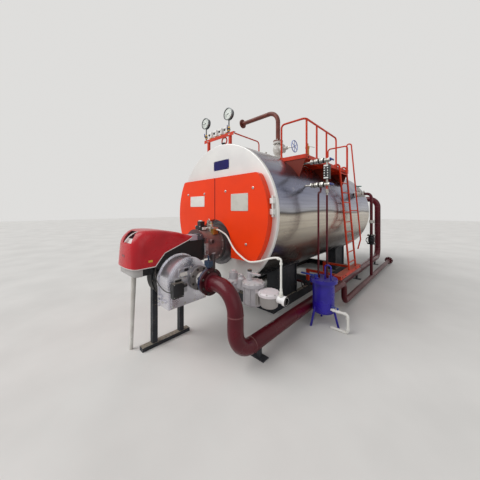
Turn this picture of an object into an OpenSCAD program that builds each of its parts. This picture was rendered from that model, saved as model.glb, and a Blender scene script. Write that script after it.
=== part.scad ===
// Horizontal fire-tube steam boiler with a forced-draught gas burner.
// X runs to the right seen from the burner end, Y runs back along the shell, Z is up.
// The origin is on the ground, in the middle of the skid's front cross member.

/* [Shell] */
// Outside diameter of the stainless cladding
shell_d = 2100; // [2000:10:2200]
// Length of the shell between its end plates
shell_len = 4290; // [4200:10:5000]
// Height of the shell axis over the ground
axis_z = 1532; // [1480:1:1600]
// Plate, insulation and cladding together
shell_wall = 95; // [60:1:140]
// Thickness of each end plate
plate_t = 40; // [30:1:60]
// Rounding of the end plates' rims
plate_fillet = 14; // [4:1:20]

/* [Front doors] */
// Radius of the round edge of the doors
door_r = 973; // [900:1:990]
// Thickness of a door
door_t = 95; // [60:1:120]
// Height of the doors' top edge over the shell axis
door_rise = 536; // [450:1:640]
// Depth of the doors' bottom edge below the shell axis
door_drop = 601; // [540:1:680]
// Gap at the seam between the doors
seam_gap = 6; // [3:1:12]
// Rounding of the doors' outer corners
door_corner = 60; // [20:1:90]
// Length of a hinge on the rim of the front plate
hinge_len = 260; // [200:1:320]

/* [Base] */
// Height of the skid beams
skid_h = 140; // [120:1:160]
// Width of the skid beams
skid_w = 70; // [50:1:80]
// Thickness of a beam's web and flanges
skid_t = 9; // [6:1:14]
// Distance of a skid beam from the centre line
skid_x = 560; // [520:1:600]
// Where the skid starts behind the front plate
skid_y = 530; // [480:1:620]
// Length of the skid
skid_len = 3420; // [3300:1:3700]
// Length of a saddle along the shell
saddle_len = 600; // [500:1:700]
// Thickness of a saddle's plates
saddle_t = 14; // [8:1:20]
// Distance of a saddle from the skid's end
saddle_inset = 120; // [60:1:220]

/* [Burner] */
// Height of the burner axis below the shell axis
burner_drop = 424; // [400:1:440]
// Radius of the burner's mounting plate
ring_r = 330; // [300:1:340]
// Distance of the head's flange from the front plate
ring_t = 110; // [90:1:130]
// Radius of the burner head
head_r = 205; // [180:1:220]
// Length of the burner head
head_len = 340; // [300:1:380]
// Radius of the fan housing
drum_r = 250; // [230:1:265]
// Width of the cast half of the fan housing
drum_w = 240; // [200:1:280]
// Width of the moulded cover
cover_w = 475; // [420:1:520]
// Rounding of the moulded cover's upright edges
cover_round = 80; // [40:1:100]

/* [Recirculation duct] */
// Outside diameter of the duct
duct_d = 159; // [140:1:168]
// Distance of the duct from the centre line
duct_x = 1030; // [1010:1:1040]
// Height of the duct's lower axis over the ground
duct_z = 190; // [170:1:200]
// Height of the duct's rear take-off
duct_top_z = 1920; // [1850:1:1930]
// Radius of the duct's bends
duct_bend = 240; // [200:1:260]

/* [Gas train] */
// Height of the gas line's axis over the ground
gas_z = 660; // [620:1:700]
// Diameter of the gas line
gas_d = 76; // [60:1:90]
// Diameter of the regulator's body
regulator_d = 230; // [200:1:250]
// Diameter of the filter's bowl
bowl_d = 230; // [200:1:240]

/* [Platform] */
// Height of the deck over the shell axis
deck_rise = 898; // [890:1:960]
// Where the deck starts behind the front plate
deck_y = 770; // [700:1:900]
// Length of the deck
deck_len = 1980; // [1900:1:2200]
// Outer edge of the deck from the centre line
deck_x = 1000; // [960:1:1020]
// Width of the deck
deck_w = 445; // [400:1:450]
// Depth of the deck's frame
deck_frame = 60; // [50:1:80]
// Height of the railing over the deck
rail_h = 540; // [450:1:1100]
// Diameter of the railing tube
rail_d = 30; // [24:1:36]
// Distance between railing posts
post_pitch = 400; // [350:1:420]

/* [Ladder] */
// Width of the ladder between the stile axes
ladder_w = 400; // [350:1:420]
// Height of the ladder's foot over the ground
ladder_foot_z = 470; // [440:1:500]
// Distance between rungs
rung_pitch = 190; // [180:1:300]
// Diameter of a stile
stile_d = 36; // [30:1:42]

/* [Instruments] */
// Diameter of a pressure gauge
gauge_d = 200; // [160:1:220]
// Height of the instrument rack over the shell
rack_rise = 278; // [260:1:320]
// Length of the instrument rack
rack_len = 760; // [720:1:800]
// Length of the level gauge's body
level_len = 206; // [180:1:240]

/* [Drain tank] */
// Diameter of the drain tank
tank_d = 292; // [260:1:300]
// Height of the tank's lid over the ground
tank_z = 620; // [580:1:660]

/* [Pipes] */
// Outside diameter of an end flange
flange_d = 200; // [190:1:210]
// Thickness of an end flange
flange_t = 22; // [16:1:30]
// Diameter of the circle of bolt holes
flange_pcd = 160; // [150:1:165]
// Diameter of a bolt hole
flange_hole = 18; // [14:1:20]
// Number of bolt holes
flange_bolts = 8; // [4:1:10]
// Outside diameter of the steam pipe and of the ground header
main_pipe_d = 89; // [76:1:100]
// Wall of the steam pipe and of the ground header
main_pipe_wall = 4.5; // [3:0.5:8]
// Outside diameter of the feed line
feed_d = 60; // [48:1:70]
// Outside diameter of the gauge drains
drain_d = 27; // [20:1:34]

/* [Flue box] */
// Half width of the flue box behind the shell
box_x = 560; // [500:1:600]
// Depth of its underside below the shell axis
box_drop = 452; // [420:1:480]
// Height of the box itself
box_h = 950; // [930:1:980]
// Length of the box behind the rear plate
box_len = 1270; // [1200:1:1500]
// Bore of the flue outlet
flue_bore = 430; // [350:1:480]

/* [Hidden] */
$fn = 48;
fine_fn = 96;
shell_r = shell_d / 2;
shell_top = axis_z + shell_r;
burner_z = axis_z - burner_drop;
rear_y = shell_len;
deck_z = axis_z + deck_rise;
seat = 0.3;

// Colours as they look on the real boiler
steel = "gainsboro";
cladding = "lightslategray";
orange = "orangered";
maroon = "#4a1c22";
rack_red = "#c8452c";
dark = "#2b2d33";
black = "#17181a";
burner_red = "#a3142a";
valve_grey = "#b9b4b2";
valve_blue = "#1c2c5a";
tank_blue = "#2a1d8c";
oxide = "#6a3a34";
iron = "slategray";
plastic = "white";

// The model is drawn from the front plate and then moved to its origin
module placed() translate([0, -skid_y - skid_w / 2, 0]) children();

// Helpers that carry a shape along an axis or a path
function unit(v) = v / norm(v);
function side_of(a) = unit(cross(a, abs(a.z) < 0.9 ? [0, 0, 1] : [1, 0, 0]));
module along(p, a) {
    x = side_of(a);
    y = cross(a, x);
    multmatrix([[x.x, y.x, a.x, p.x], [x.y, y.y, a.y, p.y], [x.z, y.z, a.z, p.z], [0, 0, 0, 1]])
        children();
}
module rod(p, q, d) {
    along(p, unit(q - p)) cylinder(h = norm(q - p), d = d);
}
module bend(c, a, b, rb, d) {
    turn = acos(a * b);
    n = (b - a * (a * b)) / sin(turn);
    m = c - a * rb * tan(turn / 2) + n * rb;
    w = cross(-n, a);
    multmatrix([[-n.x, a.x, w.x, m.x], [-n.y, a.y, w.y, m.y], [-n.z, a.z, w.z, m.z], [0, 0, 0, 1]])
        rotate_extrude(angle = turn) translate([rb, 0]) circle(d = d);
}
function reach(pts, i, rb) = i <= 0 || i >= len(pts) - 1 ? 0
    : rb * tan(acos(unit(pts[i] - pts[i - 1]) * unit(pts[i + 1] - pts[i])) / 2);
// A tube through the given corner points, with every corner rounded to rb and a weld bead at its ends
module pipe(pts, d, rb, bead = 0) {
    for (i = [0 : len(pts) - 2]) {
        a = unit(pts[i + 1] - pts[i]);
        start = pts[i] + a * reach(pts, i, rb);
        end = pts[i + 1] - a * reach(pts, i + 1, rb);
        rod(start, end, d);
        if (bead > 0 && i > 0) disc(start, a, d + 2 * bead, 6);
        if (bead > 0 && i < len(pts) - 2) disc(end, a, d + 2 * bead, 6);
    }
    for (i = [1 : 1 : len(pts) - 2])
        bend(pts[i], unit(pts[i] - pts[i - 1]), unit(pts[i + 1] - pts[i]), rb, d);
}
// A smooth curve through the points, as a closed many-sided tube
function curve(p, t) = let (i = min(floor(t), len(p) - 2), u = t - i,
    a = p[max(i - 1, 0)], b = p[i], c = p[i + 1], d = p[min(i + 2, len(p) - 1)])
    b + (c - a) * u / 2 + (a - 2.5 * b + 2 * c - d / 2) * u * u
    + (1.5 * (b - c) + (d - a) / 2) * u * u * u;
module swept(pts, d, steps, sides) {
    n = (len(pts) - 1) * steps;
    mid = [for (i = [0 : n]) curve(pts, i / steps)];
    dir = [for (i = [0 : n]) unit(mid[min(i + 1, n)] - mid[max(i - 1, 0)])];
    ring = [for (i = [0 : n], k = [0 : sides - 1])
        let (x = unit(cross(dir[i], [0, 1, 0])), y = cross(dir[i], x))
        mid[i] + (x * cos(360 * k / sides) + y * sin(360 * k / sides)) * d / 2];
    wall = [for (i = [0 : n - 1], k = [0 : sides - 1]) [i * sides + k, i * sides + (k + 1) % sides,
        (i + 1) * sides + (k + 1) % sides, (i + 1) * sides + k]];
    caps = [[for (k = [sides - 1 : -1 : 0]) k], [for (k = [0 : sides - 1]) n * sides + k]];
    polyhedron(ring, concat(wall, caps));
}
// A flange or any other disc, centred on p and square to a
module disc(p, a, d, t) {
    along(p - unit(a) * t / 2, unit(a)) cylinder(h = t, d = d);
}
// A turned body that starts at p and runs along a, from its half section
module turned(p, a, section) {
    along(p, a) rotate_extrude() polygon(section);
}
module block(lo, hi) {
    translate(lo) cube(hi - lo);
}
// A plate cut from an outline in the Y-Z plane, from x0 to x1
module side_plate(x0, x1, outline) {
    translate([x0, 0, 0]) rotate([90, 0, 90]) linear_extrude(x1 - x0) polygon(outline);
}
function arc(c, r, a0, a1, n) =
    [for (i = [0 : n]) c + r * [cos(a0 + (a1 - a0) * i / n), sin(a0 + (a1 - a0) * i / n)]];
// A handwheel with three bars across and a hub, centred on p
module handwheel(p, a, d, rim) {
    along(p, a) rotate_extrude() translate([d / 2, 0]) circle(d = rim);
    for (turn = [0, 60, 120]) along(p, a) rotate([90, 0, turn])
        translate([0, 0, -d / 2]) cylinder(h = d, d = rim * 0.7);
    disc(p, a, rim * 1.8, rim * 1.5);
}
// Cuts that bring a piece back to the skin it stands on, with a hair of clearance
module off_shell() {
    difference() {
        children();
        translate([0, -plate_t - 10, axis_z]) rotate([-90, 0, 0])
            cylinder(h = shell_len + 2 * plate_t + 20, r = shell_r + seat, $fn = 360);
    }
}
module off_head() {
    difference() {
        children();
        translate([0, -plate_t, burner_z]) rotate([90, 0, 0])
            cylinder(h = ring_t + head_len + 10, r = head_r + seat);
    }
}
module off_tank() {
    difference() {
        children();
        translate(tank_at) cylinder(h = tank_z, d = tank_d + 2 * seat);
    }
}
module above_ground() {
    ground = 4000;
    intersection() {
        children();
        translate([-ground, -ground, 0]) cube([2 * ground, 3 * ground, ground]);
    }
}

module shell_cladding() color(cladding)
    translate([0, 0, axis_z]) rotate([-90, 0, 0])
        difference() {
            cylinder(h = shell_len, r = shell_r, $fn = fine_fn);
            translate([0, 0, -1]) cylinder(h = shell_len + 2, r = shell_r - shell_wall, $fn = fine_fn);
        }

// An end plate with a rounded rim, flat where it meets the shell
module end_plate() rotate_extrude($fn = fine_fn)
    polygon(concat([[0, 0], [shell_r, 0]],
        arc([shell_r - plate_fillet, plate_t - plate_fillet], plate_fillet, 0, 90, 5), [[0, plate_t]]));
module front_plate() color(steel) translate([0, 0, axis_z]) rotate([90, 0, 0]) end_plate();

// The rear plate has a round cleaning door below the flue box
hatch_d = 360;
hatch_z = axis_z - box_drop - hatch_d / 2 - 60;
hatch_t = 30;
module rear_plate() color(steel) {
    translate([0, rear_y, axis_z]) rotate([-90, 0, 0]) end_plate();
    translate([0, rear_y + plate_t - 1, hatch_z]) rotate([-90, 0, 0]) {
        cylinder(h = hatch_t + 1, d = hatch_d);
        cylinder(h = hatch_t / 2 + 1, d = hatch_d + 60);
    }
}

// The outline of one door: round outside, flat above and below, with an arch round the burner
function corner_x(flat) = sqrt(pow(door_r - door_corner, 2) - pow(flat - door_corner, 2));
door_clearance = 15;
module door_leaf(s) {
    arch_r = ring_r + door_clearance;
    top = [corner_x(door_rise), door_rise - door_corner];
    low = [corner_x(door_drop), door_corner - door_drop];
    seam = seam_gap / 2;
    points = concat([[arch_r, -door_drop]],
        arc(low, door_corner, -90, atan2(low.y, low.x), 6),
        arc([0, 0], door_r, atan2(low.y, low.x) + 1, atan2(top.y, top.x) - 1, 32),
        arc(top, door_corner, atan2(top.y, top.x), 90, 6),
        [[seam, door_rise]],
        arc([0, -burner_drop], arch_r, 90 - asin(seam / arch_r), 0, 18));
    translate([0, -plate_t, axis_z]) rotate([90, 0, 0]) linear_extrude(door_t)
        polygon([for (q = points) [s * q.x, q.y]]);
}
module front_door_left() color(orange) door_leaf(-1);
module front_door_right() color(orange) door_leaf(1);

// One hinge on each side: a plate on the rim and a pin with two knuckles
hinge_rise = 108;
hinge_w = 45;
hinge_proud = 60;
module door_hinges() color(steel) {
    z0 = axis_z + hinge_rise - hinge_len / 2;
    pin_y = -plate_t - hinge_proud * 0.6;
    for (s = [-1, 1]) {
        x = s * (door_r + 2 + hinge_w / 2);
        block([x - hinge_w / 2, -plate_t - 12, z0], [x + hinge_w / 2, -plate_t, z0 + hinge_len]);
        for (z = [z0 + hinge_len / 8, z0 + hinge_len * 5 / 8])
            block([x - hinge_w / 2, -plate_t - hinge_proud, z], [x + hinge_w / 2, -plate_t, z + hinge_len / 4]);
        rod([x, pin_y, z0], [x, pin_y, z0 + hinge_len], 24);
    }
}

// A saddle: a leg of plates on each side, under a curved pad that the shell lies on
pad_t = 12;
leg_in = 380;
pad_lap = 40;
module saddle(y0) {
    leg_out = skid_x + skid_w / 2;
    y1 = y0 + saddle_len;
    difference() {
        for (s = [-1, 1]) {
            lo_x = s > 0 ? leg_in : -leg_out;
            hi_x = s > 0 ? leg_out : -leg_in;
            block([s * skid_x - saddle_t / 2, y0, skid_h], [s * skid_x + saddle_t / 2, y1, axis_z - shell_r / 2]);
            for (y = [y0, y1 - saddle_t])
                block([lo_x, y, skid_h], [hi_x, y + saddle_t, axis_z - shell_r / 2]);
            block([lo_x, y0, skid_h], [hi_x, y1, skid_h + saddle_t]);
        }
        translate([0, y0 - 1, axis_z]) rotate([-90, 0, 0])
            cylinder(h = saddle_len + 2, r = shell_r + pad_t / 2, $fn = 360);
    }
    for (s = [-1, 1]) intersection() {
        translate([0, y0, axis_z]) rotate([-90, 0, 0]) difference() {
            cylinder(h = saddle_len, r = shell_r + pad_t, $fn = 360);
            translate([0, 0, -1]) cylinder(h = saddle_len + 2, r = shell_r + seat, $fn = 360);
        }
        block([s > 0 ? leg_in - pad_lap : -leg_out - pad_lap, y0 - 1, skid_h],
            [s > 0 ? leg_out + pad_lap : pad_lap - leg_in, y1 + 1, axis_z]);
    }
}
module front_saddle() color(dark) saddle(skid_y + saddle_inset);
module rear_saddle() color(dark) saddle(skid_y + skid_len - saddle_inset - saddle_len - 100);

// A channel beam along Y, its web on the side that s gives
module channel(len, s) {
    slot_x = s > 0 ? -skid_w / 2 - 1 : -skid_w / 2 + skid_t;
    translate([0, len, 0]) rotate([90, 0, 0]) difference() {
        linear_extrude(len) translate([-skid_w / 2, 0]) square([skid_w, skid_h]);
        translate([slot_x, skid_t, -1]) cube([skid_w - skid_t + 1, skid_h - 2 * skid_t, len + 2]);
    }
}
module base_skid() color(dark) {
    for (s = [-1, 1]) translate([s * skid_x, skid_y, 0]) channel(skid_len, s);
    span = 2 * skid_x + skid_w - 2 * skid_t;
    for (f = [0, 0.5, 1])
        translate([-span / 2, skid_y + skid_w / 2 + f * (skid_len - skid_w), 0]) rotate(-90)
            channel(span, f > 0.7 ? -1 : 1);
}

// The mounting plate on the boiler and the neck that carries the head
mount_t = 20;
neck_r = head_r + 55;
module burner_ring() color(dark) translate([0, -plate_t, burner_z]) rotate([90, 0, 0])
    rotate_extrude() polygon([[0, 0], [ring_r, 0], [ring_r, mount_t], [neck_r + 20, mount_t],
        [neck_r, ring_t - 20], [neck_r, ring_t], [0, ring_t]]);

head_y0 = -plate_t - ring_t;
head_flange = 25;
module burner_head() color("dimgray") {
    turned([0, head_y0, burner_z], [0, -1, 0], [[0, 0], [head_r + 45, 0], [head_r + 45, head_flange],
        [head_r, head_flange + 12], [head_r, head_len - head_flange], [head_r + 15, head_len - head_flange],
        [head_r + 15, head_len], [0, head_len]]);
    // Sight port and two lugs on the right side of the casting
    port_y = head_y0 - head_len * 0.62;
    rod([head_r - 20, port_y, burner_z + 60], [head_r + 22, port_y, burner_z + 60], 62);
    for (z = [-95, 75])
        block([head_r - 60, head_y0 - head_len + 2, burner_z + z], [head_r + 24, head_y0 - head_len + 44, burner_z + z + 50]);
}

body_y1 = head_y0 - head_len;
body_x0 = -230;
body_x1 = 200;
body_rise = 99;
body_drop = 165;
drum_z = burner_z - 288;
drum_y = body_y1 - 370;
drum_x = body_x1;
black_w = 240;
rim_r = drum_r + 18;
// The lower edge of the cover from its front to its tip, over the burner axis
tip_y = body_y1 - 200;
tip_z = 165;
front_y = tip_y - 710;
edge_y = tip_y - 460;
cover_edge = [[front_y, -120], [edge_y, -120], [edge_y + 110, 12], [tip_y - 50, 122], [tip_y, tip_z - 15]];
trim_t = 8;
module burner_body() color(black) {
    side_plate(body_x0, body_x1, [[body_y1, burner_z - body_drop], [body_y1, burner_z + body_rise],
        [tip_y - 84, burner_z + body_rise], [edge_y + 115.4, burner_z + 12 - trim_t - 2 * seat],
        [edge_y + seat, burner_z - 120 - trim_t - 3 * seat], [edge_y + seat, burner_z - body_drop]]);
    translate([drum_x - black_w, drum_y, drum_z]) rotate([0, 90, 0]) {
        cylinder(h = black_w, r = drum_r + 10);
        cylinder(h = black_w / 2, r = rim_r);
    }
}

// The moulded cover: its side, plan and front outlines cut to one rounded form, with two air slots
cover_x0 = -cover_w / 2 - 15;
cover_x1 = cover_x0 + cover_w;
cover_top = 266;
top_r = 1437;
brow_r = 125;
shoulder_r = 70;
module cover_form() {
    big = 400;
    intersection() {
        side_plate(cover_x0, cover_x1, [for (q = concat(cover_edge, [[tip_y + 6, tip_z]],
            arc([tip_y - 525, cover_top - top_r], top_r, 68.7, 90, 8),
            arc([front_y + 160, cover_top - brow_r], brow_r, 91, 172, 8),
            [[front_y + 15, 30]])) [q.x, burner_z + q.y]]);
        translate([0, 0, burner_z - big]) linear_extrude(2 * big) polygon(concat(
            [[cover_x1 - 30, tip_y + 10], [cover_x0 + 30, tip_y + 10], [cover_x0, tip_y - 260]],
            arc([cover_x0 + cover_round, front_y + cover_round], cover_round, 180, 270, 8),
            arc([cover_x1 - cover_round, front_y + cover_round], cover_round, 270, 360, 8),
            [[cover_x1, tip_y - 260]]));
        translate([0, tip_y + 20, burner_z]) rotate([90, 0, 0]) linear_extrude(2 * big) polygon(concat(
            arc([cover_x1 - shoulder_r, cover_top - shoulder_r], shoulder_r, 0, 90, 8),
            arc([cover_x0 + shoulder_r, cover_top - shoulder_r], shoulder_r, 90, 180, 8),
            [[cover_x0, -big], [cover_x1, -big]]));
    }
}
slot_w = 52;
slot_pitch = 160;
slot_len = 150;
slot_depth = 26;
module burner_cover() color(burner_red) difference() {
    cover_form();
    for (i = [0, 1])
        translate([cover_x0 + 135 + i * slot_pitch, front_y + 62, burner_z + 208]) rotate([50, 0, 0])
            translate([0, -slot_len * 0.62, -slot_depth]) cube([slot_w, slot_len, 2 * slot_depth]);
}

// The pale trough under the cover, and the trim that follows the cover's lower edge
module burner_tray() color("lightgray") {
    trim = [for (q = cover_edge) [q.x, burner_z + q.y - seat]];
    lower = [for (i = [len(trim) - 1 : -1 : 0]) trim[i] + [i > 1 && i < 4 ? trim_t * 0.6 : 0, -trim_t]];
    side_plate(cover_x0 + 4, cover_x1 - 4, concat(trim, lower));
    trough_z = burner_z - 215;
    translate([0, 0, trough_z]) linear_extrude(95 - trim_t) polygon(concat(
        [[body_x1 - 8, edge_y - seat], [body_x0 + 8, edge_y - seat]],
        arc([body_x0 + 60, front_y + 80], 60, 180, 270, 6), arc([body_x1 - 60, front_y + 80], 60, 270, 360, 6)));
}

// The cast half of the fan housing: round above, square below, with a rounded shoulder
foot_drop = 270;
shoulder = 38;
shoulder_steps = 4;
function housing(r, foot) = concat([[drum_y + r * 0.96, drum_z - foot], [drum_y - r * 0.96, drum_z - foot]],
    arc([drum_y, drum_z], r, 196, -16, 28));
inlet_y = drum_y + 120;
inlet_z = drum_z;
inlet_t = 14;
inlet_flange_d = 270;
drum_face = drum_x + drum_w;
module fan_drum() color("silver") {
    for (i = [0 : shoulder_steps]) {
        a = 90 * i / shoulder_steps;
        in = shoulder * (1 - cos(a));
        side_plate(drum_x, drum_face - shoulder * (1 - sin(a)), housing(drum_r - in, foot_drop - in));
    }
    side_plate(drum_x, drum_x + 16, housing(drum_r + 14, foot_drop + 8));
    rod([drum_face - 1, inlet_y, inlet_z], [drum_face + inlet_t, inlet_y, inlet_z], inlet_flange_d - 20);
    block([drum_face - 1, drum_y - 140, drum_z + 58], [drum_face + 8, drum_y + 20, drum_z + 148]);
}

// The fan motor on the left: a finned frame, an end shield and a terminal box
motor_r = 120;
motor_len = 270;
fins = 16;
module fan_motor() color(dark) translate([drum_x - black_w, drum_y, drum_z]) rotate([0, -90, 0]) {
    cylinder(h = motor_len, r = motor_r - 12);
    translate([0, 0, motor_len * 0.8]) cylinder(h = motor_len * 0.2, r = motor_r - 2);
    for (i = [0 : fins - 1]) rotate(360 * (i + 0.5) / fins)
        translate([0, -3, 30]) cube([motor_r - 1, 6, motor_len * 0.8 - 20]);
    translate([-55, -motor_r - 50, 60]) cube([110, 80, 120]);
}

drive_y0 = drum_y - 250;
drive_y1 = drum_y - 60;
module air_damper_drive() color(black) {
    block([drum_face, drive_y0 + 50, drum_z - 100], [drum_face + 40, drive_y1, drum_z + 50]);
    block([drum_face + 30, drive_y0, drum_z - 120], [drum_face + 90, drive_y1 - 70, drum_z + 30]);
    rod([drum_face + 60, drive_y1 - 72, drum_z - 20], [drum_face + 60, drive_y1 - 20, drum_z - 20], 36);
}

// The stand: a foot bar on the ground and two posts up to the fan housing
bar_h = 45;
bar_w = 80;
post_w = 60;
module burner_stand() color(dark) {
    block([-bar_w / 2, drum_y - 350, 0], [bar_w / 2, drum_y + 260, bar_h]);
    difference() {
        for (y = [drum_y - 230, drum_y + 120])
            block([-post_w / 2, y, bar_h - 1], [post_w / 2, y + post_w, drum_z - 110]);
        translate([-post_w, drum_y, drum_z]) rotate([0, 90, 0])
            cylinder(h = 3 * post_w, r = rim_r + seat, $fn = 180);
    }
}

leg_top = [-150, front_y + 170, burner_z - 215 - seat];
module burner_leg() color(steel) above_ground() {
    foot = [-125, front_y + 128, -10];
    along(foot, unit(leg_top - foot)) cylinder(h = norm(leg_top - foot) - 1.6, d1 = 36, d2 = 56);
}

// The flame relay, the ignition box and the pilot gas valve on top of the head
pilot_y = head_y0 - 105;
module ignition_fittings() color("darkkhaki") off_head() {
    top = burner_z + head_r;
    block([-80, head_y0 - 275, top - 20], [40, head_y0 - 165, top + 60]);
    block([-60, head_y0 - 255, top + 59], [10, head_y0 - 180, top + 120]);
    turned([60, pilot_y, top - 25], [0, 0, 1], [[0, 0], [52, 0], [52, 45], [32, 60], [32, 100], [20, 110], [20, 140], [0, 140]]);
    rod([60, pilot_y, top + 20], [130, pilot_y, top + 20], 44);
    block([100, pilot_y - 42, top - 60], [165, pilot_y + 42, top + 40]);
    rod([-20, head_y0 - 90, top - 10], [-20, head_y0 - 90, top + 130], 40);
}

gas_y = -300;
union_x = 1000;
regulator_x = 885;
gas_elbow_x = 150;
module gas_regulator() color(valve_grey) {
    r = regulator_d / 2;
    off_head() rod([gas_elbow_x, gas_y, burner_z - 100], [gas_elbow_x, gas_y, gas_z], gas_d);
    rod([gas_elbow_x, gas_y, gas_z], [union_x, gas_y, gas_z], gas_d);
    disc([gas_elbow_x, gas_y, gas_z + 90], [0, 0, 1], gas_d + 50, 24);
    // Shut-off valve with its solenoid
    turned([560, gas_y, gas_z - 85], [0, 0, 1], [[0, 0], [75, 0], [95, 30], [95, 120], [70, 150], [55, 160], [55, 240], [0, 240]]);
    block([500, gas_y - 110, gas_z - 60], [620, gas_y + 110, gas_z + 60]);
    turned([700, gas_y, gas_z], [0, 0, 1], [[0, 0], [48, 0], [48, 104], [34, 122], [0, 122]]);
    // Pressure regulator: a drum with a flanged lid, the spring column and its cap
    turned([regulator_x, gas_y, gas_z - 150], [0, 0, 1], [[0, 0], [r - 20, 0], [r, 25], [r, 210], [r + 15, 212],
        [r + 15, 250], [r - 5, 262], [0, 270]]);
    turned([regulator_x - 55, gas_y, gas_z + 110], [0, 0, 1], [[0, 0], [36, 0], [36, 20], [30, 28], [30, 92], [24, 110], [0, 110]]);
    block([regulator_x - 75, gas_y - 18, gas_z + 190], [regulator_x + 95, gas_y + 18, gas_z + 206]);
    disc([union_x - 18, gas_y, gas_z], [1, 0, 0], gas_d + 44, 18);
}

filter_x = 1110;
gas_end_x = 1330;
module gas_filter() color(valve_grey) {
    r = bowl_d / 2;
    turned([filter_x, gas_y, gas_z - 112], [0, 0, 1], [[0, 0], [r - 35, 0], [r - 22, 12], [r - 14, 60],
        [r - 2, 128], [r + 5, 130], [r + 5, 150], [r - 12, 166], [0, 172]]);
    difference() {
        union() {
            rod([union_x, gas_y, gas_z], [gas_end_x, gas_y, gas_z], gas_d);
            disc([gas_end_x - 20, gas_y, gas_z], [1, 0, 0], gas_d + 22, 30);
        }
        rod([gas_end_x - 60, gas_y, gas_z], [gas_end_x + 1, gas_y, gas_z], gas_d - 9);
    }
    disc([union_x + 12, gas_y, gas_z], [1, 0, 0], gas_d + 14, 24);
}

// The white conduit from the pilot valve to the gas inlet, through points along its run
conduit_d = 22;
conduit_x = 1261;
module gas_conduit() color(plastic)
    swept([[165 + seat, pilot_y, 1322], [205, pilot_y + 20, 1315], [255, pilot_y + 46, 1284],
        [317, -183, 1235], [441, -207, 1120], [535, -230, 1060], [637, -253, 1021],
        [743, -277, 990], [845, gas_y, 985], [996, gas_y, 1022], [1101, gas_y, 1064],
        [1190, gas_y, 1088], [conduit_x - 16, gas_y, 1080], [conduit_x, gas_y, 1040], [conduit_x, gas_y, 900],
        [conduit_x, gas_y, gas_z + gas_d / 2 + seat]], conduit_d, 3, 8);

// The short straight piece between the fan inlet and the valve
spool_d = 160;
spool_len = 136;
module duct_spool() color(steel) {
    x = drum_face + inlet_t;
    r = spool_d / 2;
    disc([x + 13, inlet_y, inlet_z], [1, 0, 0], inlet_flange_d, 26);
    turned([x, inlet_y, inlet_z], [1, 0, 0], [[0, 0], [r - 6, 0], [r - 6, 34], [r, 46],
        [r, spool_len - 12], [r - 6, spool_len], [0, spool_len]]);
}

// A butterfly valve between two flanges, with its neck and drive head
valve_x = drum_face + inlet_t + spool_len;
valve_t = 56;
module duct_valve() color(valve_blue) {
    x = valve_x + valve_t / 2;
    disc([x, inlet_y, inlet_z], [1, 0, 0], 212, valve_t);
    disc([x, inlet_y, inlet_z], [1, 0, 0], inlet_flange_d, valve_t - 24);
    rod([x, inlet_y, inlet_z + 90], [x, inlet_y, inlet_z + 190], 34);
    disc([x, inlet_y, inlet_z + 160], [0, 0, 1], 70, 14);
    block([x - 40, inlet_y - 28, inlet_z + 166], [x + 40, inlet_y + 28, inlet_z + 222]);
    rod([x, inlet_y, inlet_z + 221], [x, inlet_y, inlet_z + 240], 22);
}

duct_flange_d = 285;
duct_x0 = valve_x + valve_t;
box_y0 = rear_y + plate_t;
box_y1 = box_y0 + box_len;
duct_y1 = box_y1 - 180;
stand_foot = 180;
stands = 4;
module recirculation_duct() color(maroon) {
    pipe([[duct_x0, inlet_y, inlet_z], [duct_x, inlet_y, inlet_z], [duct_x, inlet_y, duct_z],
        [duct_x, duct_y1, duct_z], [duct_x, duct_y1, duct_top_z], [box_x, duct_y1, duct_top_z]],
        duct_d, duct_bend);
    disc([duct_x0 + 13, inlet_y, inlet_z], [1, 0, 0], duct_flange_d, 26);
    disc([box_x + 10, duct_y1, duct_top_z], [1, 0, 0], duct_d + 50, 20);
    // Low T stands along the run
    for (i = [0 : stands - 1]) {
        y = inlet_y + 370 + i * (duct_y1 - inlet_y - 740) / (stands - 1);
        block([duct_x - stand_foot / 2, y - 50, 0], [duct_x + stand_foot / 2, y + 50, 10]);
        block([duct_x - 20, y - 20, 9], [duct_x + 20, y + 20, duct_z - duct_d / 4]);
    }
}

// The flue box on the rear plate, stiffened by ribs, with the flanged outlet to the chimney
box_z = axis_z - box_drop;
flue_z = box_z + box_h / 2;
flue_neck = 120;
flue_flange_d = flue_bore + 130;
flue_flange_t = 16;
flue_pcd = flue_bore + 80;
flue_holes = 12;
flue_hole = 14;
flue_depth = 400;
rib_t = 10;
module flue_box() color(steel) difference() {
    union() {
        block([-box_x + rib_t, box_y0, box_z + rib_t], [box_x - rib_t, box_y1, box_z + box_h - rib_t]);
        for (f = [0, 0.34, 0.66, 1])
            translate([-box_x, box_y0 + f * (box_len - rib_t), box_z]) cube([2 * box_x, rib_t, box_h]);
        block([box_x - rib_t - 1, duct_y1 - 130, duct_top_z - 200], [box_x, duct_y1 + 130, box_z + box_h - 1]);
        translate([0, box_y1 - 1, flue_z]) rotate([-90, 0, 0]) {
            cylinder(h = flue_neck + 1, d = flue_bore + 10);
            translate([0, 0, flue_neck + 1 - flue_flange_t]) cylinder(h = flue_flange_t, d = flue_flange_d);
        }
    }
    translate([0, box_y1 + flue_neck + 1, flue_z]) rotate([90, 0, 0]) {
        cylinder(h = flue_depth, d = flue_bore);
        for (i = [0 : flue_holes - 1]) rotate(360 * (i + 0.5) / flue_holes)
            translate([flue_pcd / 2, 0, 0]) cylinder(h = flue_flange_t + 2, d = flue_hole);
    }
}

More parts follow.
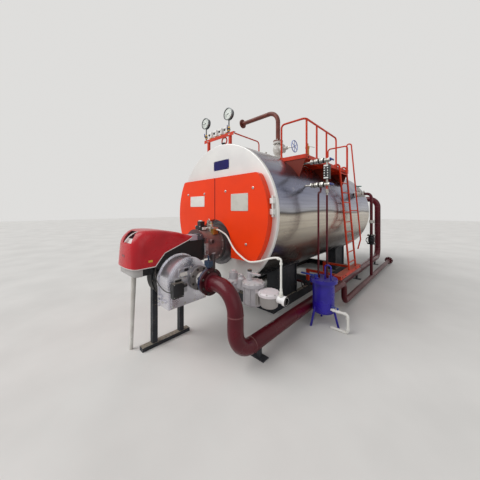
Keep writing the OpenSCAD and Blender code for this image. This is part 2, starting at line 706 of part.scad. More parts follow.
// The main steam valve: a globe body on its nozzle, the bonnet and handwheel to the right
steam_y = 1550;
steam_flange_z = shell_top + 408;
steam_run_z = shell_top + 1048;
stem_z = shell_top + 248;
wheel_x = 380;
cock_y = 1140;
module steam_valve() color(iron) {
    off_shell() turned([0, steam_y, shell_top - 20], [0, 0, 1], [[0, 0], [46, 0], [46, 68], [100, 68], [100, 116],
        [52, 116], [60, 150], [92, 200], [104, 268], [92, 336], [60, 376], [52, 384], [100, 384], [100, 428], [0, 428]]);
    turned([60, steam_y, stem_z], [1, 0, 0], [[0, 0], [70, 0], [70, 46], [88, 46], [88, 76], [38, 84], [26, 130],
        [34, 136], [34, 160], [14, 164], [14, wheel_x - 50], [0, wheel_x - 50]]);
    handwheel([wheel_x, steam_y, stem_z], [1, 0, 0], 220, 20);
    // Vent cock on its own stub
    off_shell() turned([0, cock_y, shell_top - 20], [0, 0, 1], [[0, 0], [24, 0], [24, 60], [38, 64], [38, 96],
        [18, 104], [18, 140], [0, 140]]);
    rod([-60, cock_y, shell_top + 60], [70, cock_y, shell_top + 60], 30);
}

// The bolt holes and the bore of a pipe end whose flange face is at p and looks along a
mouth_depth = 150;
module flange_cut(p, a) along(p, a) {
    translate([0, 0, -mouth_depth]) cylinder(h = mouth_depth + 1, d = main_pipe_d - 2 * main_pipe_wall);
    for (i = [0 : flange_bolts - 1]) rotate(360 * (i + 0.5) / flange_bolts)
        translate([flange_pcd / 2, 0, -flange_t - 1]) cylinder(h = flange_t + 2, d = flange_hole);
}
steam_end_x = -1000;
steam_bend = 230;
module steam_pipe() color(oxide) difference() {
    end = [steam_end_x, steam_y, steam_run_z];
    union() {
        pipe([[0, steam_y, steam_flange_z], [0, steam_y, steam_run_z], end], main_pipe_d, steam_bend);
        disc([0, steam_y, steam_flange_z + flange_t / 2], [0, 0, 1], flange_d, flange_t);
        disc(end + [flange_t / 2, 0, 0], [1, 0, 0], flange_d, flange_t);
    }
    flange_cut(end, [-1, 0, 0]);
}

// The spring safety valve with its side outlet and lifting lever
safety_y = shell_len - 1420;
module safety_valve() color(iron) {
    off_shell() turned([0, safety_y, shell_top - 20], [0, 0, 1], [[0, 0], [42, 0], [42, 68], [92, 68], [92, 114],
        [50, 114], [62, 150], [62, 270], [84, 276], [84, 304], [48, 312], [42, 560], [52, 566], [52, 610],
        [26, 640], [26, 690], [0, 690]]);
    rod([0, safety_y, shell_top + 190], [150, safety_y, shell_top + 190], 90);
    disc([150, safety_y, shell_top + 190], [1, 0, 0], 165, 20);
    rod([0, safety_y, shell_top + 610], [190, safety_y, shell_top + 540], 18);
}

// The instrument rack: an angle on two posts, with the pressure devices along it
rack_y = 260;
rack_z = shell_top + rack_rise;
rack_x1 = 20;
rack_x0 = rack_x1 - rack_len;
angle_w = 50;
angle_t = 6;
module instrument_rack() color(rack_red) {
    front = rack_y - angle_w / 2;
    block([rack_x0, front, rack_z], [rack_x1, front + angle_w, rack_z + angle_t]);
    block([rack_x0, front, rack_z - angle_w], [rack_x1, front + angle_t, rack_z + 1]);
    off_shell() for (x = [rack_x0 + 100, rack_x1 - 100])
        block([x - 20, front + angle_t - 1, axis_z + shell_r / 2], [x + 20, rack_y + 21, rack_z + 1]);
}
switch_pitch = 135;
switch_w = 80;
module pressure_switches() color("whitesmoke")
    for (i = [0 : 3]) {
        x = rack_x0 + 120 + i * switch_pitch;
        block([x, rack_y - 22, rack_z + angle_t + 24], [x + switch_w, rack_y + 38, rack_z + 126]);
        rod([x + switch_w / 2, rack_y + 5, rack_z + angle_t], [x + switch_w / 2, rack_y + 5, rack_z + 40], 34);
        rod([x + 20, rack_y - 30, rack_z + 84], [x + 20, rack_y - 20, rack_z + 84], 34);
    }
gauge_rise = 320;
module pressure_gauges() color("whitesmoke")
    for (x = [rack_x0 + 25, rack_x1 - 130]) {
        r = gauge_d / 2;
        turned([x, rack_y + 28, rack_z + gauge_rise], [0, -1, 0], [[0, 0], [r - 8, 0], [r - 8, 42], [r, 46],
            [r, 58], [r - 8, 60], [r - 12, 50], [0, 50]]);
        rod([x, rack_y, rack_z + angle_t], [x, rack_y, rack_z + gauge_rise - r + 14], 20);
        disc([x, rack_y, rack_z + 70], [0, 0, 1], 42, 34);
        rod([x, rack_y - 34, rack_z + 70], [x, rack_y + 30, rack_z + 70], 18);
    }
// The impulse pipe to the shell top with its socket, and a siphon under the rack
impulse_d = 22;
impulse_y = 920;
siphon_x = -228;
siphon_r = 60;
module sensing_pipes() color(oxide) {
    z = rack_z - 12;
    ring_z = rack_z - siphon_r - 36;
    off_shell() {
        pipe([[0, rack_y + angle_w / 2, z], [0, impulse_y, z], [0, impulse_y, shell_top - 10]], impulse_d, 60);
        turned([0, impulse_y, shell_top - 20], [0, 0, 1], [[0, 0], [26, 0], [26, 50], [38, 54], [38, 78], [18, 82], [0, 82]]);
    }
    along([siphon_x, rack_y + 6, ring_z], [0, 1, 0]) rotate_extrude()
        translate([siphon_r, 0]) circle(d = impulse_d);
    rod([siphon_x, rack_y + 6, ring_z + siphon_r - 6], [siphon_x, rack_y + 6, rack_z - seat], impulse_d);
}

// The deck plate on an angle frame, with brackets down to the shell
bracket_t = 8;
deck_plate_t = 6;
module platform_deck() color(orange) off_shell() {
    x0 = deck_x - deck_w;
    y1 = deck_y + deck_len;
    block([x0, deck_y, deck_z - deck_plate_t], [deck_x, y1, deck_z]);
    block([deck_x - bracket_t, deck_y, deck_z - deck_frame], [deck_x, y1, deck_z - 1]);
    for (y = [deck_y, y1 - bracket_t])
        block([x0, y, deck_z - deck_frame], [deck_x, y + bracket_t, deck_z - 1]);
    block([x0 + deck_w / 2, deck_y, deck_z - deck_frame / 2], [x0 + deck_w / 2 + bracket_t, y1, deck_z - 1]);
    for (y = [deck_y + 10, deck_y + deck_len / 2, y1 - 60])
        translate([0, y + bracket_t, axis_z]) rotate([90, 0, 0]) linear_extrude(bracket_t)
            polygon([[x0, deck_rise - 1], [x0, shell_r * 0.7], [shell_r * 0.83, shell_r * 0.5],
                [deck_x - 4, deck_rise - deck_frame], [deck_x - 4, deck_rise - 1]]);
}

// The handrail, the ladder and the gate in the railing are set out from the deck's rear end
handrail_y = deck_y + deck_len - 150;
ladder_y = handrail_y - 100 - ladder_w;
gate_y = ladder_y - 40;
rail_rb = 60;
module platform_railing() color(rack_red) {
    y0 = deck_y + 20;
    y1 = deck_y + deck_len - 20;
    x1 = deck_x - rail_d / 2;
    x0 = deck_x - deck_w + rail_d / 2;
    top = deck_z + rail_h;
    pipe([[x0, y0, deck_z], [x0, y0, top], [x1, y0, top], [x1, gate_y, top], [x1, gate_y, deck_z]], rail_d, rail_rb);
    for (y = [y0 : post_pitch : gate_y - post_pitch / 2])
        rod([x1, max(y, y0 + rail_rb * 0.7), deck_z], [x1, max(y, y0 + rail_rb * 0.7), top], rail_d);
    pipe([[x0, y1, deck_z], [x0, y1, top], [x1, y1, top], [x1, y1, deck_z]], rail_d, rail_rb);
}

// The ladder leans against the deck, and its stiles turn over onto the deck's edge
ladder_lean = 183;
ladder_head_x = deck_x + 25;
knee_z = deck_z + 110;
rung_d = 22;
weld = 1;
module ladder() color(rack_red) {
    foot = [ladder_head_x + ladder_lean, 0, ladder_foot_z];
    knee = [ladder_head_x, 0, knee_z];
    land = [deck_x - 90, 0, deck_z + seat];
    for (y = [ladder_y, ladder_y + ladder_w])
        pipe([foot + [0, y, 0], knee + [0, y, 0], land + [0, y, 0]], stile_d, 60, weld);
    for (i = [1 : floor((deck_z - foot.z + 60) / rung_pitch)]) {
        p = foot + (knee - foot) * (i * rung_pitch - 60) / (knee.z - foot.z);
        rod(p + [0, ladder_y, 0], p + [0, ladder_y + ladder_w, 0], rung_d);
    }
}
handrail_d = 26;
handrail_hook = 87;
handrail_foot = 262;
module ladder_handrail() color(rack_red) {
    x0 = deck_x + handrail_d / 2 + seat;
    top = deck_z + rail_h - 20;
    low_z = ladder_foot_z + 530;
    pipe([[x0, handrail_y, deck_z - 40], [x0, handrail_y, top + 35], [x0 + handrail_hook, handrail_y, top],
        [x0 + handrail_foot, handrail_y, low_z], [x0 + handrail_foot - 50, handrail_y, low_z - 200]],
        handrail_d, 40, weld);
    // The link to the ladder
    link_z = ladder_foot_z + 1110;
    stile = [ladder_head_x + ladder_lean * (knee_z - link_z) / (knee_z - ladder_foot_z), ladder_y + ladder_w, link_z];
    rail = [x0 + handrail_hook + (handrail_foot - handrail_hook) * (top - link_z) / (top - low_z), handrail_y, link_z];
    rod(stile + unit(rail - stile) * (stile_d / 2 + 1), rail, 18);
}

// The beam under the ladder, on two arms over the duct to the skid
beam_h = 60;
beam_w = 120;
beam_x0 = deck_x + 120;
arm_w = 50;
module ladder_foot() color(rack_red) {
    z = ladder_foot_z - seat;
    arm_x = skid_x + skid_w / 2 - arm_w;
    block([beam_x0, ladder_y - 540, z - beam_h], [beam_x0 + beam_w, ladder_y + 630, z]);
    for (y = [ladder_y - 400, ladder_y + 400]) {
        block([arm_x, y, z - beam_h], [beam_x0 + 1, y + arm_w, z - 20]);
        block([arm_x, y, skid_h + seat], [arm_x + arm_w, y + arm_w, z - beam_h + 1]);
    }
}

// The level gauge: a flat body with its cocks above and below, piped to the shell
level_y = 840;
level_x = 1290;
level_lo = axis_z + 423;
level_hi = level_lo + 345;
level_mid = (level_lo + level_hi) / 2 + 5;
drain_top = level_lo - 150;
module level_gauge() color(black) {
    z0 = level_mid - level_len / 2;
    block([level_x - 40, level_y - 24, z0], [level_x + 40, level_y + 30, z0 + level_len]);
    block([level_x - 26, level_y - 32, z0 + 12], [level_x + 26, level_y - 23, z0 + level_len - 12]);
}
module level_gauge_fittings() color(plastic) {
    for (z = [level_lo, level_hi]) {
        off_shell() rod([sqrt(pow(shell_r, 2) - pow(z - axis_z, 2)) - 25, level_y, z], [level_x + 20, level_y, z], 30);
        turned([level_x - 235, level_y, z], [1, 0, 0], [[0, 0], [34, 0], [34, 20], [24, 26], [24, 46], [36, 52],
            [36, 92], [24, 98], [24, 130], [38, 136], [38, 168], [20, 176], [0, 176]]);
        turned([level_x - 30, level_y, z], [1, 0, 0], [[0, 0], [28, 0], [28, 60], [20, 66], [20, 84], [11, 86],
            [11, 110], [0, 110]]);
        rod([level_x + 74, level_y - 40, z], [level_x + 74, level_y + 40, z], 20);
    }
    rod([level_x, level_y, level_lo], [level_x, level_y, level_mid - level_len / 2 - seat], 30);
    rod([level_x, level_y, level_mid + level_len / 2 + seat], [level_x, level_y, level_hi], 30);
    rod([level_x, level_y, drain_top], [level_x, level_y, level_lo], 24);
    disc([level_x, level_y, drain_top + 60], [0, 0, 1], 44, 60);
}

// The drain tank: shell, lid flange, lifting handle, lever cock and three splayed legs
tank_at = [1260, 790, 0];
tank_base = 170;
lid_d = tank_d + 78;
lid_t = 48;
lid_z = tank_z + 18;
handle_h = 200;
module drain_tank() color(tank_blue) translate(tank_at) {
    translate([0, 0, tank_base]) rotate_extrude() polygon(concat([[0, 0]], arc([tank_d / 2 - 30, 30], 30, -90, 0, 5),
        [[tank_d / 2, lid_z - lid_t - tank_base], [lid_d / 2, lid_z - lid_t - tank_base],
        [lid_d / 2, lid_z - tank_base], [0, lid_z - tank_base]]));
    pipe([[40, -40, lid_z - 1], [40, -40, lid_z + handle_h], [120, -40, lid_z + handle_h], [120, -40, lid_z - 1]], 20, 38);
    turned([-60, -95, lid_z - 1], [0, 0, 1], [[0, 0], [30, 0], [30, 18], [20, 22], [20, 50], [0, 50]]);
    block([-290, -107, lid_z + 34], [-45, -83, lid_z + 48]);
    for (a = [0, 120, 240]) rotate(a)
        above_ground() rod([tank_d / 2 - 10, 0, 260], [tank_d / 2 + 62, 0, -10], 30);
}

// Gauge drains to the tank, the blow-down line, and the header on the ground
header_x = 1320;
header_z = flange_d / 2 + 2;
header_y0 = 1470;
header_end = [header_x, rear_y + 1110, header_z];
tank_pipe_z = 420;
blow_y = 1330;
blow_z = 318;
blow_d = 42;
blow_x = 1215;
blow_valve_x = 760;
gauge_drain = [level_x - 90, level_y - 80];
module drain_piping() color(maroon) difference() {
    union() {
        off_tank() pipe([[header_x, tank_at.y + 30, tank_pipe_z], [header_x, header_y0, tank_pipe_z],
            [header_x, header_y0, header_z], header_end], main_pipe_d, 110);
        off_tank() off_shell() pipe([[0, blow_y, axis_z - shell_r + 30], [0, blow_y, blow_z],
            [blow_x, blow_y, blow_z], [blow_x, tank_at.y + 40, blow_z]], blow_d, 60);
        disc(header_end - [0, flange_t / 2, 0], [0, 1, 0], flange_d, flange_t);
        for (x = [-40, 40]) disc([blow_valve_x + x, blow_y, blow_z], [1, 0, 0], 110, 16);
        disc([blow_valve_x, blow_y, blow_z], [1, 0, 0], 80, 90);
        rod([blow_valve_x, blow_y, blow_z], [blow_valve_x, blow_y - 110, blow_z], 20);
        handwheel([blow_valve_x, blow_y - 110, blow_z], [0, -1, 0], 120, 12);
        pipe([[gauge_drain.x, level_y, level_lo - 38 - seat], [gauge_drain.x, level_y, level_lo - 110],
            [gauge_drain.x, gauge_drain.y, level_lo - 110], [gauge_drain.x, gauge_drain.y, lid_z]], drain_d, 36);
        rod([level_x, level_y, drain_top - seat], [level_x, level_y, lid_z], drain_d);
        disc([level_x, level_y, lid_z + 20], [0, 0, 1], drain_d + 20, 40);
        disc([gauge_drain.x, gauge_drain.y, lid_z + 20], [0, 0, 1], drain_d + 20, 40);
    }
    flange_cut(header_end, [0, 1, 0]);
}

// The plastic pipe at the tank's foot: out, down, and back under the tank
outlet_d = 34;
outlet_z = 252;
outlet_reach = 342;
module tank_outlet() color(plastic) {
    x = tank_at.x + outlet_reach;
    y = tank_at.y - 60;
    off_tank() pipe([[tank_at.x + 100, y, outlet_z], [x, y, outlet_z], [x, y, outlet_d / 2],
        [tank_at.x - 40, y, outlet_d / 2]], outlet_d, 36);
    disc([tank_at.x + 215, y, outlet_z], [1, 0, 0], outlet_d + 10, 50);
}

// The feed line: check valve and stop valve at the shell, then down to the header through a gate valve
feed_y = shell_len - 1010;
feed_z = axis_z + 423;
gate_z = 930;
stop_x = 1000;
module feed_water_line() color(maroon) {
    off_shell() pipe([[880, feed_y, feed_z], [header_x, feed_y, feed_z],
        [header_x, feed_y, header_z + main_pipe_d / 2 + seat]], feed_d, 90);
    for (x = [0, 110, 165]) disc([stop_x + x, feed_y, feed_z], [1, 0, 0], 150, 18);
    turned([stop_x, feed_y, feed_z], [1, 0, 0], [[0, 0], [48, 0], [70, 40], [70, 70], [48, 110], [0, 110]]);
    turned([stop_x + 55, feed_y, feed_z], [0, 0, 1], [[0, 0], [40, 0], [40, 70], [58, 72], [58, 90], [24, 96],
        [24, 140], [10, 142], [10, 190], [0, 190]]);
    handwheel([stop_x + 55, feed_y, feed_z + 180], [0, 0, 1], 130, 14);
    for (z = [-91, 91]) disc([header_x, feed_y, gate_z + z], [0, 0, 1], 165, 18);
    turned([header_x, feed_y, gate_z - 90], [0, 0, 1], [[0, 0], [45, 0], [62, 50], [62, 130], [45, 180], [0, 180]]);
    rod([header_x, feed_y, gate_z], [header_x, feed_y - 150, gate_z], 50);
    handwheel([header_x, feed_y - 150, gate_z], [0, -1, 0], 140, 14);
}

placed() shell_cladding();
placed() front_plate();
placed() rear_plate();
placed() front_door_left();
placed() front_door_right();
placed() door_hinges();
placed() front_saddle();
placed() rear_saddle();
placed() base_skid();
placed() burner_ring();
placed() burner_head();
placed() burner_body();
placed() burner_cover();
placed() burner_tray();
placed() fan_drum();
placed() fan_motor();
placed() air_damper_drive();
placed() burner_stand();
placed() burner_leg();
placed() ignition_fittings();
placed() gas_regulator();
placed() gas_filter();
placed() gas_conduit();
placed() duct_spool();
placed() duct_valve();
placed() recirculation_duct();
placed() flue_box();
placed() steam_valve();
placed() steam_pipe();
placed() safety_valve();
placed() instrument_rack();
placed() pressure_switches();
placed() pressure_gauges();
placed() sensing_pipes();
placed() platform_deck();
placed() platform_railing();
placed() ladder();
placed() ladder_handrail();
placed() ladder_foot();
placed() level_gauge();
placed() level_gauge_fittings();
placed() drain_tank();
placed() drain_piping();
placed() tank_outlet();
placed() feed_water_line();
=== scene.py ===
"""Industrial steam boiler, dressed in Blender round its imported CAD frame.

Every size is in millimetres, on the drawing's axes: x to the right as seen from the burner, y along
the shell from the front plate's joint, z up from the ground. to_frame() turns them into the frame.
"""

import logging
import math
from dataclasses import dataclass, field, replace
from enum import Enum

import bpy
import numpy as np
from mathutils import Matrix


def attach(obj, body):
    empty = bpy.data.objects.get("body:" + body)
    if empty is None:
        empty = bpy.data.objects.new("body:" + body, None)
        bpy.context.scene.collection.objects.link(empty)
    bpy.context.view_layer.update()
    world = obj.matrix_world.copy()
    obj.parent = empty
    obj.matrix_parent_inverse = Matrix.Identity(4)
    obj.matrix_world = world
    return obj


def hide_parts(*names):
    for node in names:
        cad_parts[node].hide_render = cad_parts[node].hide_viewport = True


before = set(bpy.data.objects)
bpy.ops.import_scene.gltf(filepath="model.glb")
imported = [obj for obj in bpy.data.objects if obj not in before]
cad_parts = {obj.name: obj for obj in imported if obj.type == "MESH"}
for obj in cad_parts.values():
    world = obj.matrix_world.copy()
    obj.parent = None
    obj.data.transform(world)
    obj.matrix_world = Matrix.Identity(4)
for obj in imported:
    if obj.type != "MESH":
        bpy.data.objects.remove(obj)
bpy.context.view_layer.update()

log = logging.getLogger("boiler")
SKID_FRONT = 565.0  # where the frame's origin lies on the drawing's y axis
AXIS_Z = 1532.0  # height of the shell's axis
SHELL_RADIUS = 1050.0  # of the cladding
BURNER_Z = 1108.0  # height of the burner's axis
SHARP = math.radians(33)  # edges over this angle are shaded sharp

Point = tuple[float, float, float]
Pair = tuple[float, float]
Profile = list[Pair]
Tree = bpy.types.NodeTree
Socket = bpy.types.NodeSocket


class Axis(Enum):
    """The direction that a turned or extruded form looks along."""

    RIGHT = (1.0, 0.0, 0.0)
    LEFT = (-1.0, 0.0, 0.0)
    BACK = (0.0, 1.0, 0.0)
    FRONT = (0.0, -1.0, 0.0)
    UP = (0.0, 0.0, 1.0)


RIGHT, LEFT, BACK, FRONT, UP = Axis


def to_frame(points: np.ndarray | Point) -> np.ndarray:
    """Drawn millimetres as metres in the frame."""
    return (np.asarray(points, float) - [0, SKID_FRONT, 0]) / 1000


# Forms


@dataclass
class Form:
    """A closed surface: its points in mm, and its faces as arrays of the same number of corners.

    tint holds one number for each face array: which of the piece's finishes it takes, or an array
    of such numbers, one for each face.
    """

    points: np.ndarray
    faces: list[np.ndarray]
    tint: list[int | np.ndarray] = field(default_factory=list)

    def __post_init__(self) -> None:
        """Gives every face array the first finish if none is named."""
        if not self.tint:
            self.tint = [0] * len(self.faces)

    def painted(self, tint: int) -> "Form":
        """The same form, all in one of the piece's finishes."""
        return Form(self.points, self.faces, [tint] * len(self.faces))

    def volume(self) -> float:
        """Measures the form, to tell which way it faces.

        Returns:
            Six times the signed volume: the sum over all triangles of the triple product.
        """
        total = 0.0
        for corners in self.faces:
            corner = self.points[corners]
            for i in range(1, corners.shape[1] - 1):
                total += np.einsum("ij,ij->", corner[:, 0], np.cross(corner[:, i], corner[:, i + 1]))
        return total

    def outward(self) -> "Form":
        """The form itself, its faces turned outwards by the sign of the volume."""
        if self.volume() < 0:
            self.faces = [f[:, ::-1] for f in self.faces]
        return self


def joined(*forms: Form) -> Form:
    """Makes one form out of several, each keeping its own finish numbers.

    Args:
        forms: the forms.

    Returns:
        The one form.
    """
    points, faces, tint, start = [], [], [], 0
    for form in forms:
        points.append(form.points)
        faces += [f + start for f in form.faces]
        tint += form.tint
        start += len(form.points)
    return Form(np.vstack(points), faces, tint)


def skin(rows: np.ndarray, ring: bool = False) -> Form:
    """A surface over a grid whose columns close on themselves.

    Point (i, j) joins (i, j+1), (i+1, j+1) and (i+1, j). The two end rows are closed by one face
    each, unless the rows close into a ring.

    Args:
        rows: points as an array (rows, columns, 3).
        ring: whether the last row joins the first.

    Returns:
        The closed form, facing outwards.
    """
    m, n = rows.shape[:2]
    i, j = np.meshgrid(np.arange(m if ring else m - 1), np.arange(n), indexing="ij")
    a, b = i * n + j, i * n + (j + 1) % n
    up = ((i + 1) % m) * n
    faces = [np.stack([a, b, up + (j + 1) % n, up + j], -1).reshape(-1, 4)]
    if not ring:
        faces += [np.arange(n)[::-1][None], (np.arange(n) + (m - 1) * n)[None]]
    return Form(rows.reshape(-1, 3), faces).outward()


def unit(vectors: np.ndarray) -> np.ndarray:
    """Vectors cut down to a length of one."""
    return vectors / np.linalg.norm(vectors, axis=-1, keepdims=True)


def sides_of(axis: np.ndarray) -> tuple[np.ndarray, np.ndarray]:
    """Finds the two ways across an axis, by cross products with the way up, or back if it stands.

    Args:
        axis: the axis.

    Returns:
        Two unit vectors square to the axis and to each other, the second as near to up as can be.
    """
    axis = unit(axis)
    guide = np.array([0.0, 1.0, 0.0]) if abs(axis[2]) > 0.9 else np.array([0.0, 0.0, 1.0])
    across = unit(np.cross(guide, axis))
    return across, np.cross(axis, across)


def turned(profile: Profile, at: Point, axis: Axis, steps: int = 40, ring: bool = False) -> Form:
    """A profile turned round an axis.

    Point (i, j) is at + along_i * axis + radius_i * (cos t_j * across + sin t_j * up).

    Args:
        profile: points (radius, distance along).
        at: where the distance along is nought.
        axis: the axis.
        steps: points round the circle; six make a hexagon.
        ring: whether the profile closes on itself, as a ring's section does.

    Returns:
        The closed form.
    """
    p = np.array(profile, float)
    d = np.array(axis.value)
    across, up = sides_of(d)
    t = np.linspace(0, 2 * np.pi, steps, endpoint=False)
    spoke = np.cos(t)[:, None] * across + np.sin(t)[:, None] * up
    r = np.maximum(p[:, 0], 0.05)
    return skin(np.array(at, float) + p[:, 1, None, None] * d + r[:, None, None] * spoke[None], ring)


def tube(path: np.ndarray, size: float, sides: int = 16) -> Form:
    """A round tube along a path: each station's circle lies in the plane square to the path.

    The circle's first side is carried from station to station by taking off the part of it that
    points along the path, so the tube doesn't twist.

    Args:
        path: the stations.
        size: the diameter.
        sides: points round each circle.

    Returns:
        The closed form.
    """
    run = unit(np.gradient(path, axis=0))
    side = [sides_of(run[0])[0]]
    for way in run[1:]:
        side.append(unit(side[-1] - way * (side[-1] @ way)))
    side = np.array(side)[:, None]
    other = np.cross(run, side[:, 0])[:, None]
    t = np.linspace(0, 2 * np.pi, sides, endpoint=False)[:, None]
    return skin(path[:, None] + size / 2 * (np.cos(t) * side + np.sin(t) * other))


def curve_through(points: tuple[Point, ...], per_span: int) -> np.ndarray:
    """A smooth path through points: a Catmull-Rom cubic on each span, from its four nearest points.

    Args:
        points: the given points.
        per_span: steps from one point to the next.

    Returns:
        The path, from the first point to the last.
    """
    p = np.array(points, float)
    p = np.vstack([2 * p[0] - p[1], p, 2 * p[-1] - p[-2]])
    u = np.linspace(0, 1, per_span, endpoint=False)[:, None]
    before, start = -u**3 + 2 * u**2 - u, 3 * u**3 - 5 * u**2 + 2
    end, after = -3 * u**3 + 4 * u**2 + u, u**3 - u**2
    weights = np.stack([before, start, end, after]) / 2
    spans = np.stack([p[:-3], p[1:-2], p[2:-1], p[3:]])
    path = np.einsum("kuo,ksc->suc", weights, spans).reshape(-1, 3)
    return np.vstack([path, p[-2]])


def arc(middle: Pair, radius: float, start: float, end: float, count: int) -> np.ndarray:
    """A stretch of a circle: middle + radius * (cos a, sin a), from one angle in degrees to another."""
    a = np.radians(np.linspace(start, end, count))
    return np.array(middle) + radius * np.stack([np.cos(a), np.sin(a)], -1)


def round_rectangle(half_u: float, half_v: float, corner: float | tuple, steps: int = 5) -> np.ndarray:
    """The outline of a rectangle with round corners, each a quarter of a circle.

    Args:
        half_u: half the width.
        half_v: half the height.
        corner: one radius, or four: right back, left back, left front, right front.
        steps: points in each corner.

    Returns:
        Points (u, v) against the clock.
    """
    r = np.clip(np.broadcast_to(corner, 4), 0.01, min(half_u, half_v))[:, None]
    a = np.radians(np.linspace(0, 90, steps)[None] + np.arange(4)[:, None] * 90)
    middle = np.array([[1, 1], [-1, 1], [-1, -1], [1, -1]]) * (np.array([[half_u, half_v]]) - r)
    return (middle[:, None] + r[..., None] * np.stack([np.cos(a), np.sin(a)], -1)).reshape(-1, 2)


def inset(outline: np.ndarray, by: np.ndarray) -> np.ndarray:
    """Moves an outline inwards: each point goes along the middle of its two edge normals.

    Args:
        outline: points (u, v) against the clock.
        by: several distances.

    Returns:
        One outline for each distance, as an array (distances, points, 2).
    """
    ahead = np.roll(outline, -1, 0) - outline
    normal = np.stack([-ahead[:, 1], ahead[:, 0]], -1)
    normal /= np.maximum(np.linalg.norm(normal, axis=1), 1e-9)[:, None]
    middle = normal + np.roll(normal, 1, 0)
    middle /= np.maximum((middle * normal).sum(1), 0.3)[:, None]
    return outline[None] + by[:, None, None] * middle[None]


def plate(outline: np.ndarray, at: Point, axis: Axis, depth: float, edge: float = 1.5) -> Form:
    """A flat piece with softened edges: its outline carried along an axis.

    Near each end the outline moves in by edge * (1 - sin a) while it travels edge * (1 - cos a).

    Args:
        outline: points (u, v), u across and v up as sides_of() gives them.
        at: the middle of the first face.
        axis: the way the piece grows.
        depth: its thickness.
        edge: the radius of its edges.

    Returns:
        The closed form.
    """
    a = np.linspace(0, np.pi / 2, 4)
    into = np.concatenate([[1.4 * edge], edge * (1 - np.sin(a))])
    along = np.concatenate([[0], edge * (1 - np.cos(a))])
    into = np.concatenate([into, into[::-1]])
    along = np.concatenate([along, depth - along[::-1]])
    d = np.array(axis.value)
    across, up = sides_of(d)
    flat = inset(outline, into)
    flat = flat[..., :1] * across + flat[..., 1:] * up
    return skin(np.array(at, float) + along[:, None, None] * d + flat)


def box(lo: Point, hi: Point, edge: float = 2.0) -> Form:
    """A block with softened edges, standing between two corners.

    Args:
        lo: its lowest corner.
        hi: its highest corner.
        edge: the radius of its edges.

    Returns:
        The closed form.
    """
    lo, hi = np.array(lo, float), np.array(hi, float)
    half, middle = (hi - lo) / 2, (lo + hi) / 2
    outline = round_rectangle(half[0], half[1], edge)
    return plate(outline, (middle[0], middle[1], lo[2]), UP, hi[2] - lo[2], edge)


def hex_bolt(size: float) -> Form:
    """A washer and a hexagon head with its chamfer, looking up.

    Args:
        size: the thread.

    Returns:
        The closed form.
    """
    head = turned([(0.84 * size, 0.16 * size), (0.84 * size, 0.7 * size), (0.7 * size, 0.8 * size)],
                  (0, 0, 0), UP, 6)
    washer = turned([(1.1 * size, 0), (1.1 * size, 0.12 * size), (1.02 * size, 0.18 * size)],
                    (0, 0, 0), UP, 12)
    return joined(washer, head)


def stud(size: float) -> Form:
    """A nut on a threaded end of one size, looking up: a washer, a hexagon nut and the rod."""
    rod = turned([(0.5 * size, 0), (0.5 * size, 1.25 * size), (0.4 * size, 1.35 * size)],
                 (0, 0, 0), UP, 10)
    return joined(hex_bolt(size), rod)


def round_screw(size: float) -> Form:
    """A low domed screw head, looking up: its height falls as the cosine of the way out.

    Args:
        size: the head's radius.

    Returns:
        The closed form.
    """
    a = np.linspace(0, np.pi / 2, 4)
    dome = [(size * np.cos(t), 0.12 * size + 0.45 * size * np.sin(t)) for t in a]
    return turned([(size, 0)] + dome, (0, 0, 0), UP, 12)


def lattice(xs: float | tuple, ys: float | tuple, zs: float | tuple) -> np.ndarray:
    """Every place whose x, y and z come from three lists, in drawn mm, z changing fastest."""
    return np.stack(np.meshgrid(xs, ys, zs, indexing="ij"), -1).reshape(-1, 3).astype(float)


def circle_of(at: Point, axis: Axis, radius: float, count: int) -> np.ndarray:
    """Places evenly round a circle, the first half a step from the way across.

    Args:
        at: the circle's middle.
        axis: the way it looks.
        radius: its radius.
        count: how many places.

    Returns:
        The places, as an array (count, 3).
    """
    across, up = sides_of(np.array(axis.value))
    t = (np.arange(count) + 0.5) * 2 * np.pi / count
    return np.array(at) + radius * (np.cos(t)[:, None] * across + np.sin(t)[:, None] * up)


def repeated(form: Form, places: np.ndarray, axis: Axis) -> Form:
    """Copies of a form that looks up, set at many places and looking along one axis.

    Every point (x, y, z) becomes place + x * across + y * up + z * axis.

    Args:
        form: the form.
        places: where the copies stand.
        axis: the way they look.

    Returns:
        The copies as one form.
    """
    d = np.array(axis.value)
    across, up = sides_of(d)
    points = (places[:, None] + (form.points @ np.stack([across, up, d]))[None]).reshape(-1, 3)
    shift = (np.arange(len(places)) * len(form.points))[:, None, None]
    faces = [(f[None] + shift).reshape(-1, f.shape[1]) for f in form.faces]
    return Form(points, faces, list(form.tint)).outward()


def ring_of(form: Form, at: Point, axis: Axis, radius: float, count: int) -> Form:
    """Copies of a form evenly round a circle, all looking along its axis."""
    return repeated(form, circle_of(at, axis, radius, count), axis)


def weld_bead(at: Point, axis: Axis, pipe: float, width: float = 11.0) -> Form:
    """A raised weld round a pipe: a low ring whose section is half an ellipse.

    Args:
        at: a place on the pipe's axis.
        axis: the way the pipe runs.
        pipe: its diameter.
        width: the weld's width.

    Returns:
        The closed form.
    """
    a = np.linspace(0, np.pi, 7)
    r, rise, sunk = pipe / 2, 2.6, 3
    profile = [(r + rise * math.sin(t), -width / 2 * math.cos(t)) for t in a]
    return turned(profile + [(r - sunk, width / 2), (r - sunk, -width / 2)], at, axis, 48, True)


# Finishes

LEAST_ROUGHNESS = 0.03
COAT_ROUGHNESS = 0.08
DUST_ROUGHNESS = 0.75
SPECK_SIZE = 22.0  # mm, of the noise that makes specks and breaks up dust and wear
DENT_SIZE = 420.0  # mm, of the broad dents
WORN_RADIUS = 4.0  # mm, of the rounded corner that finds a worn edge


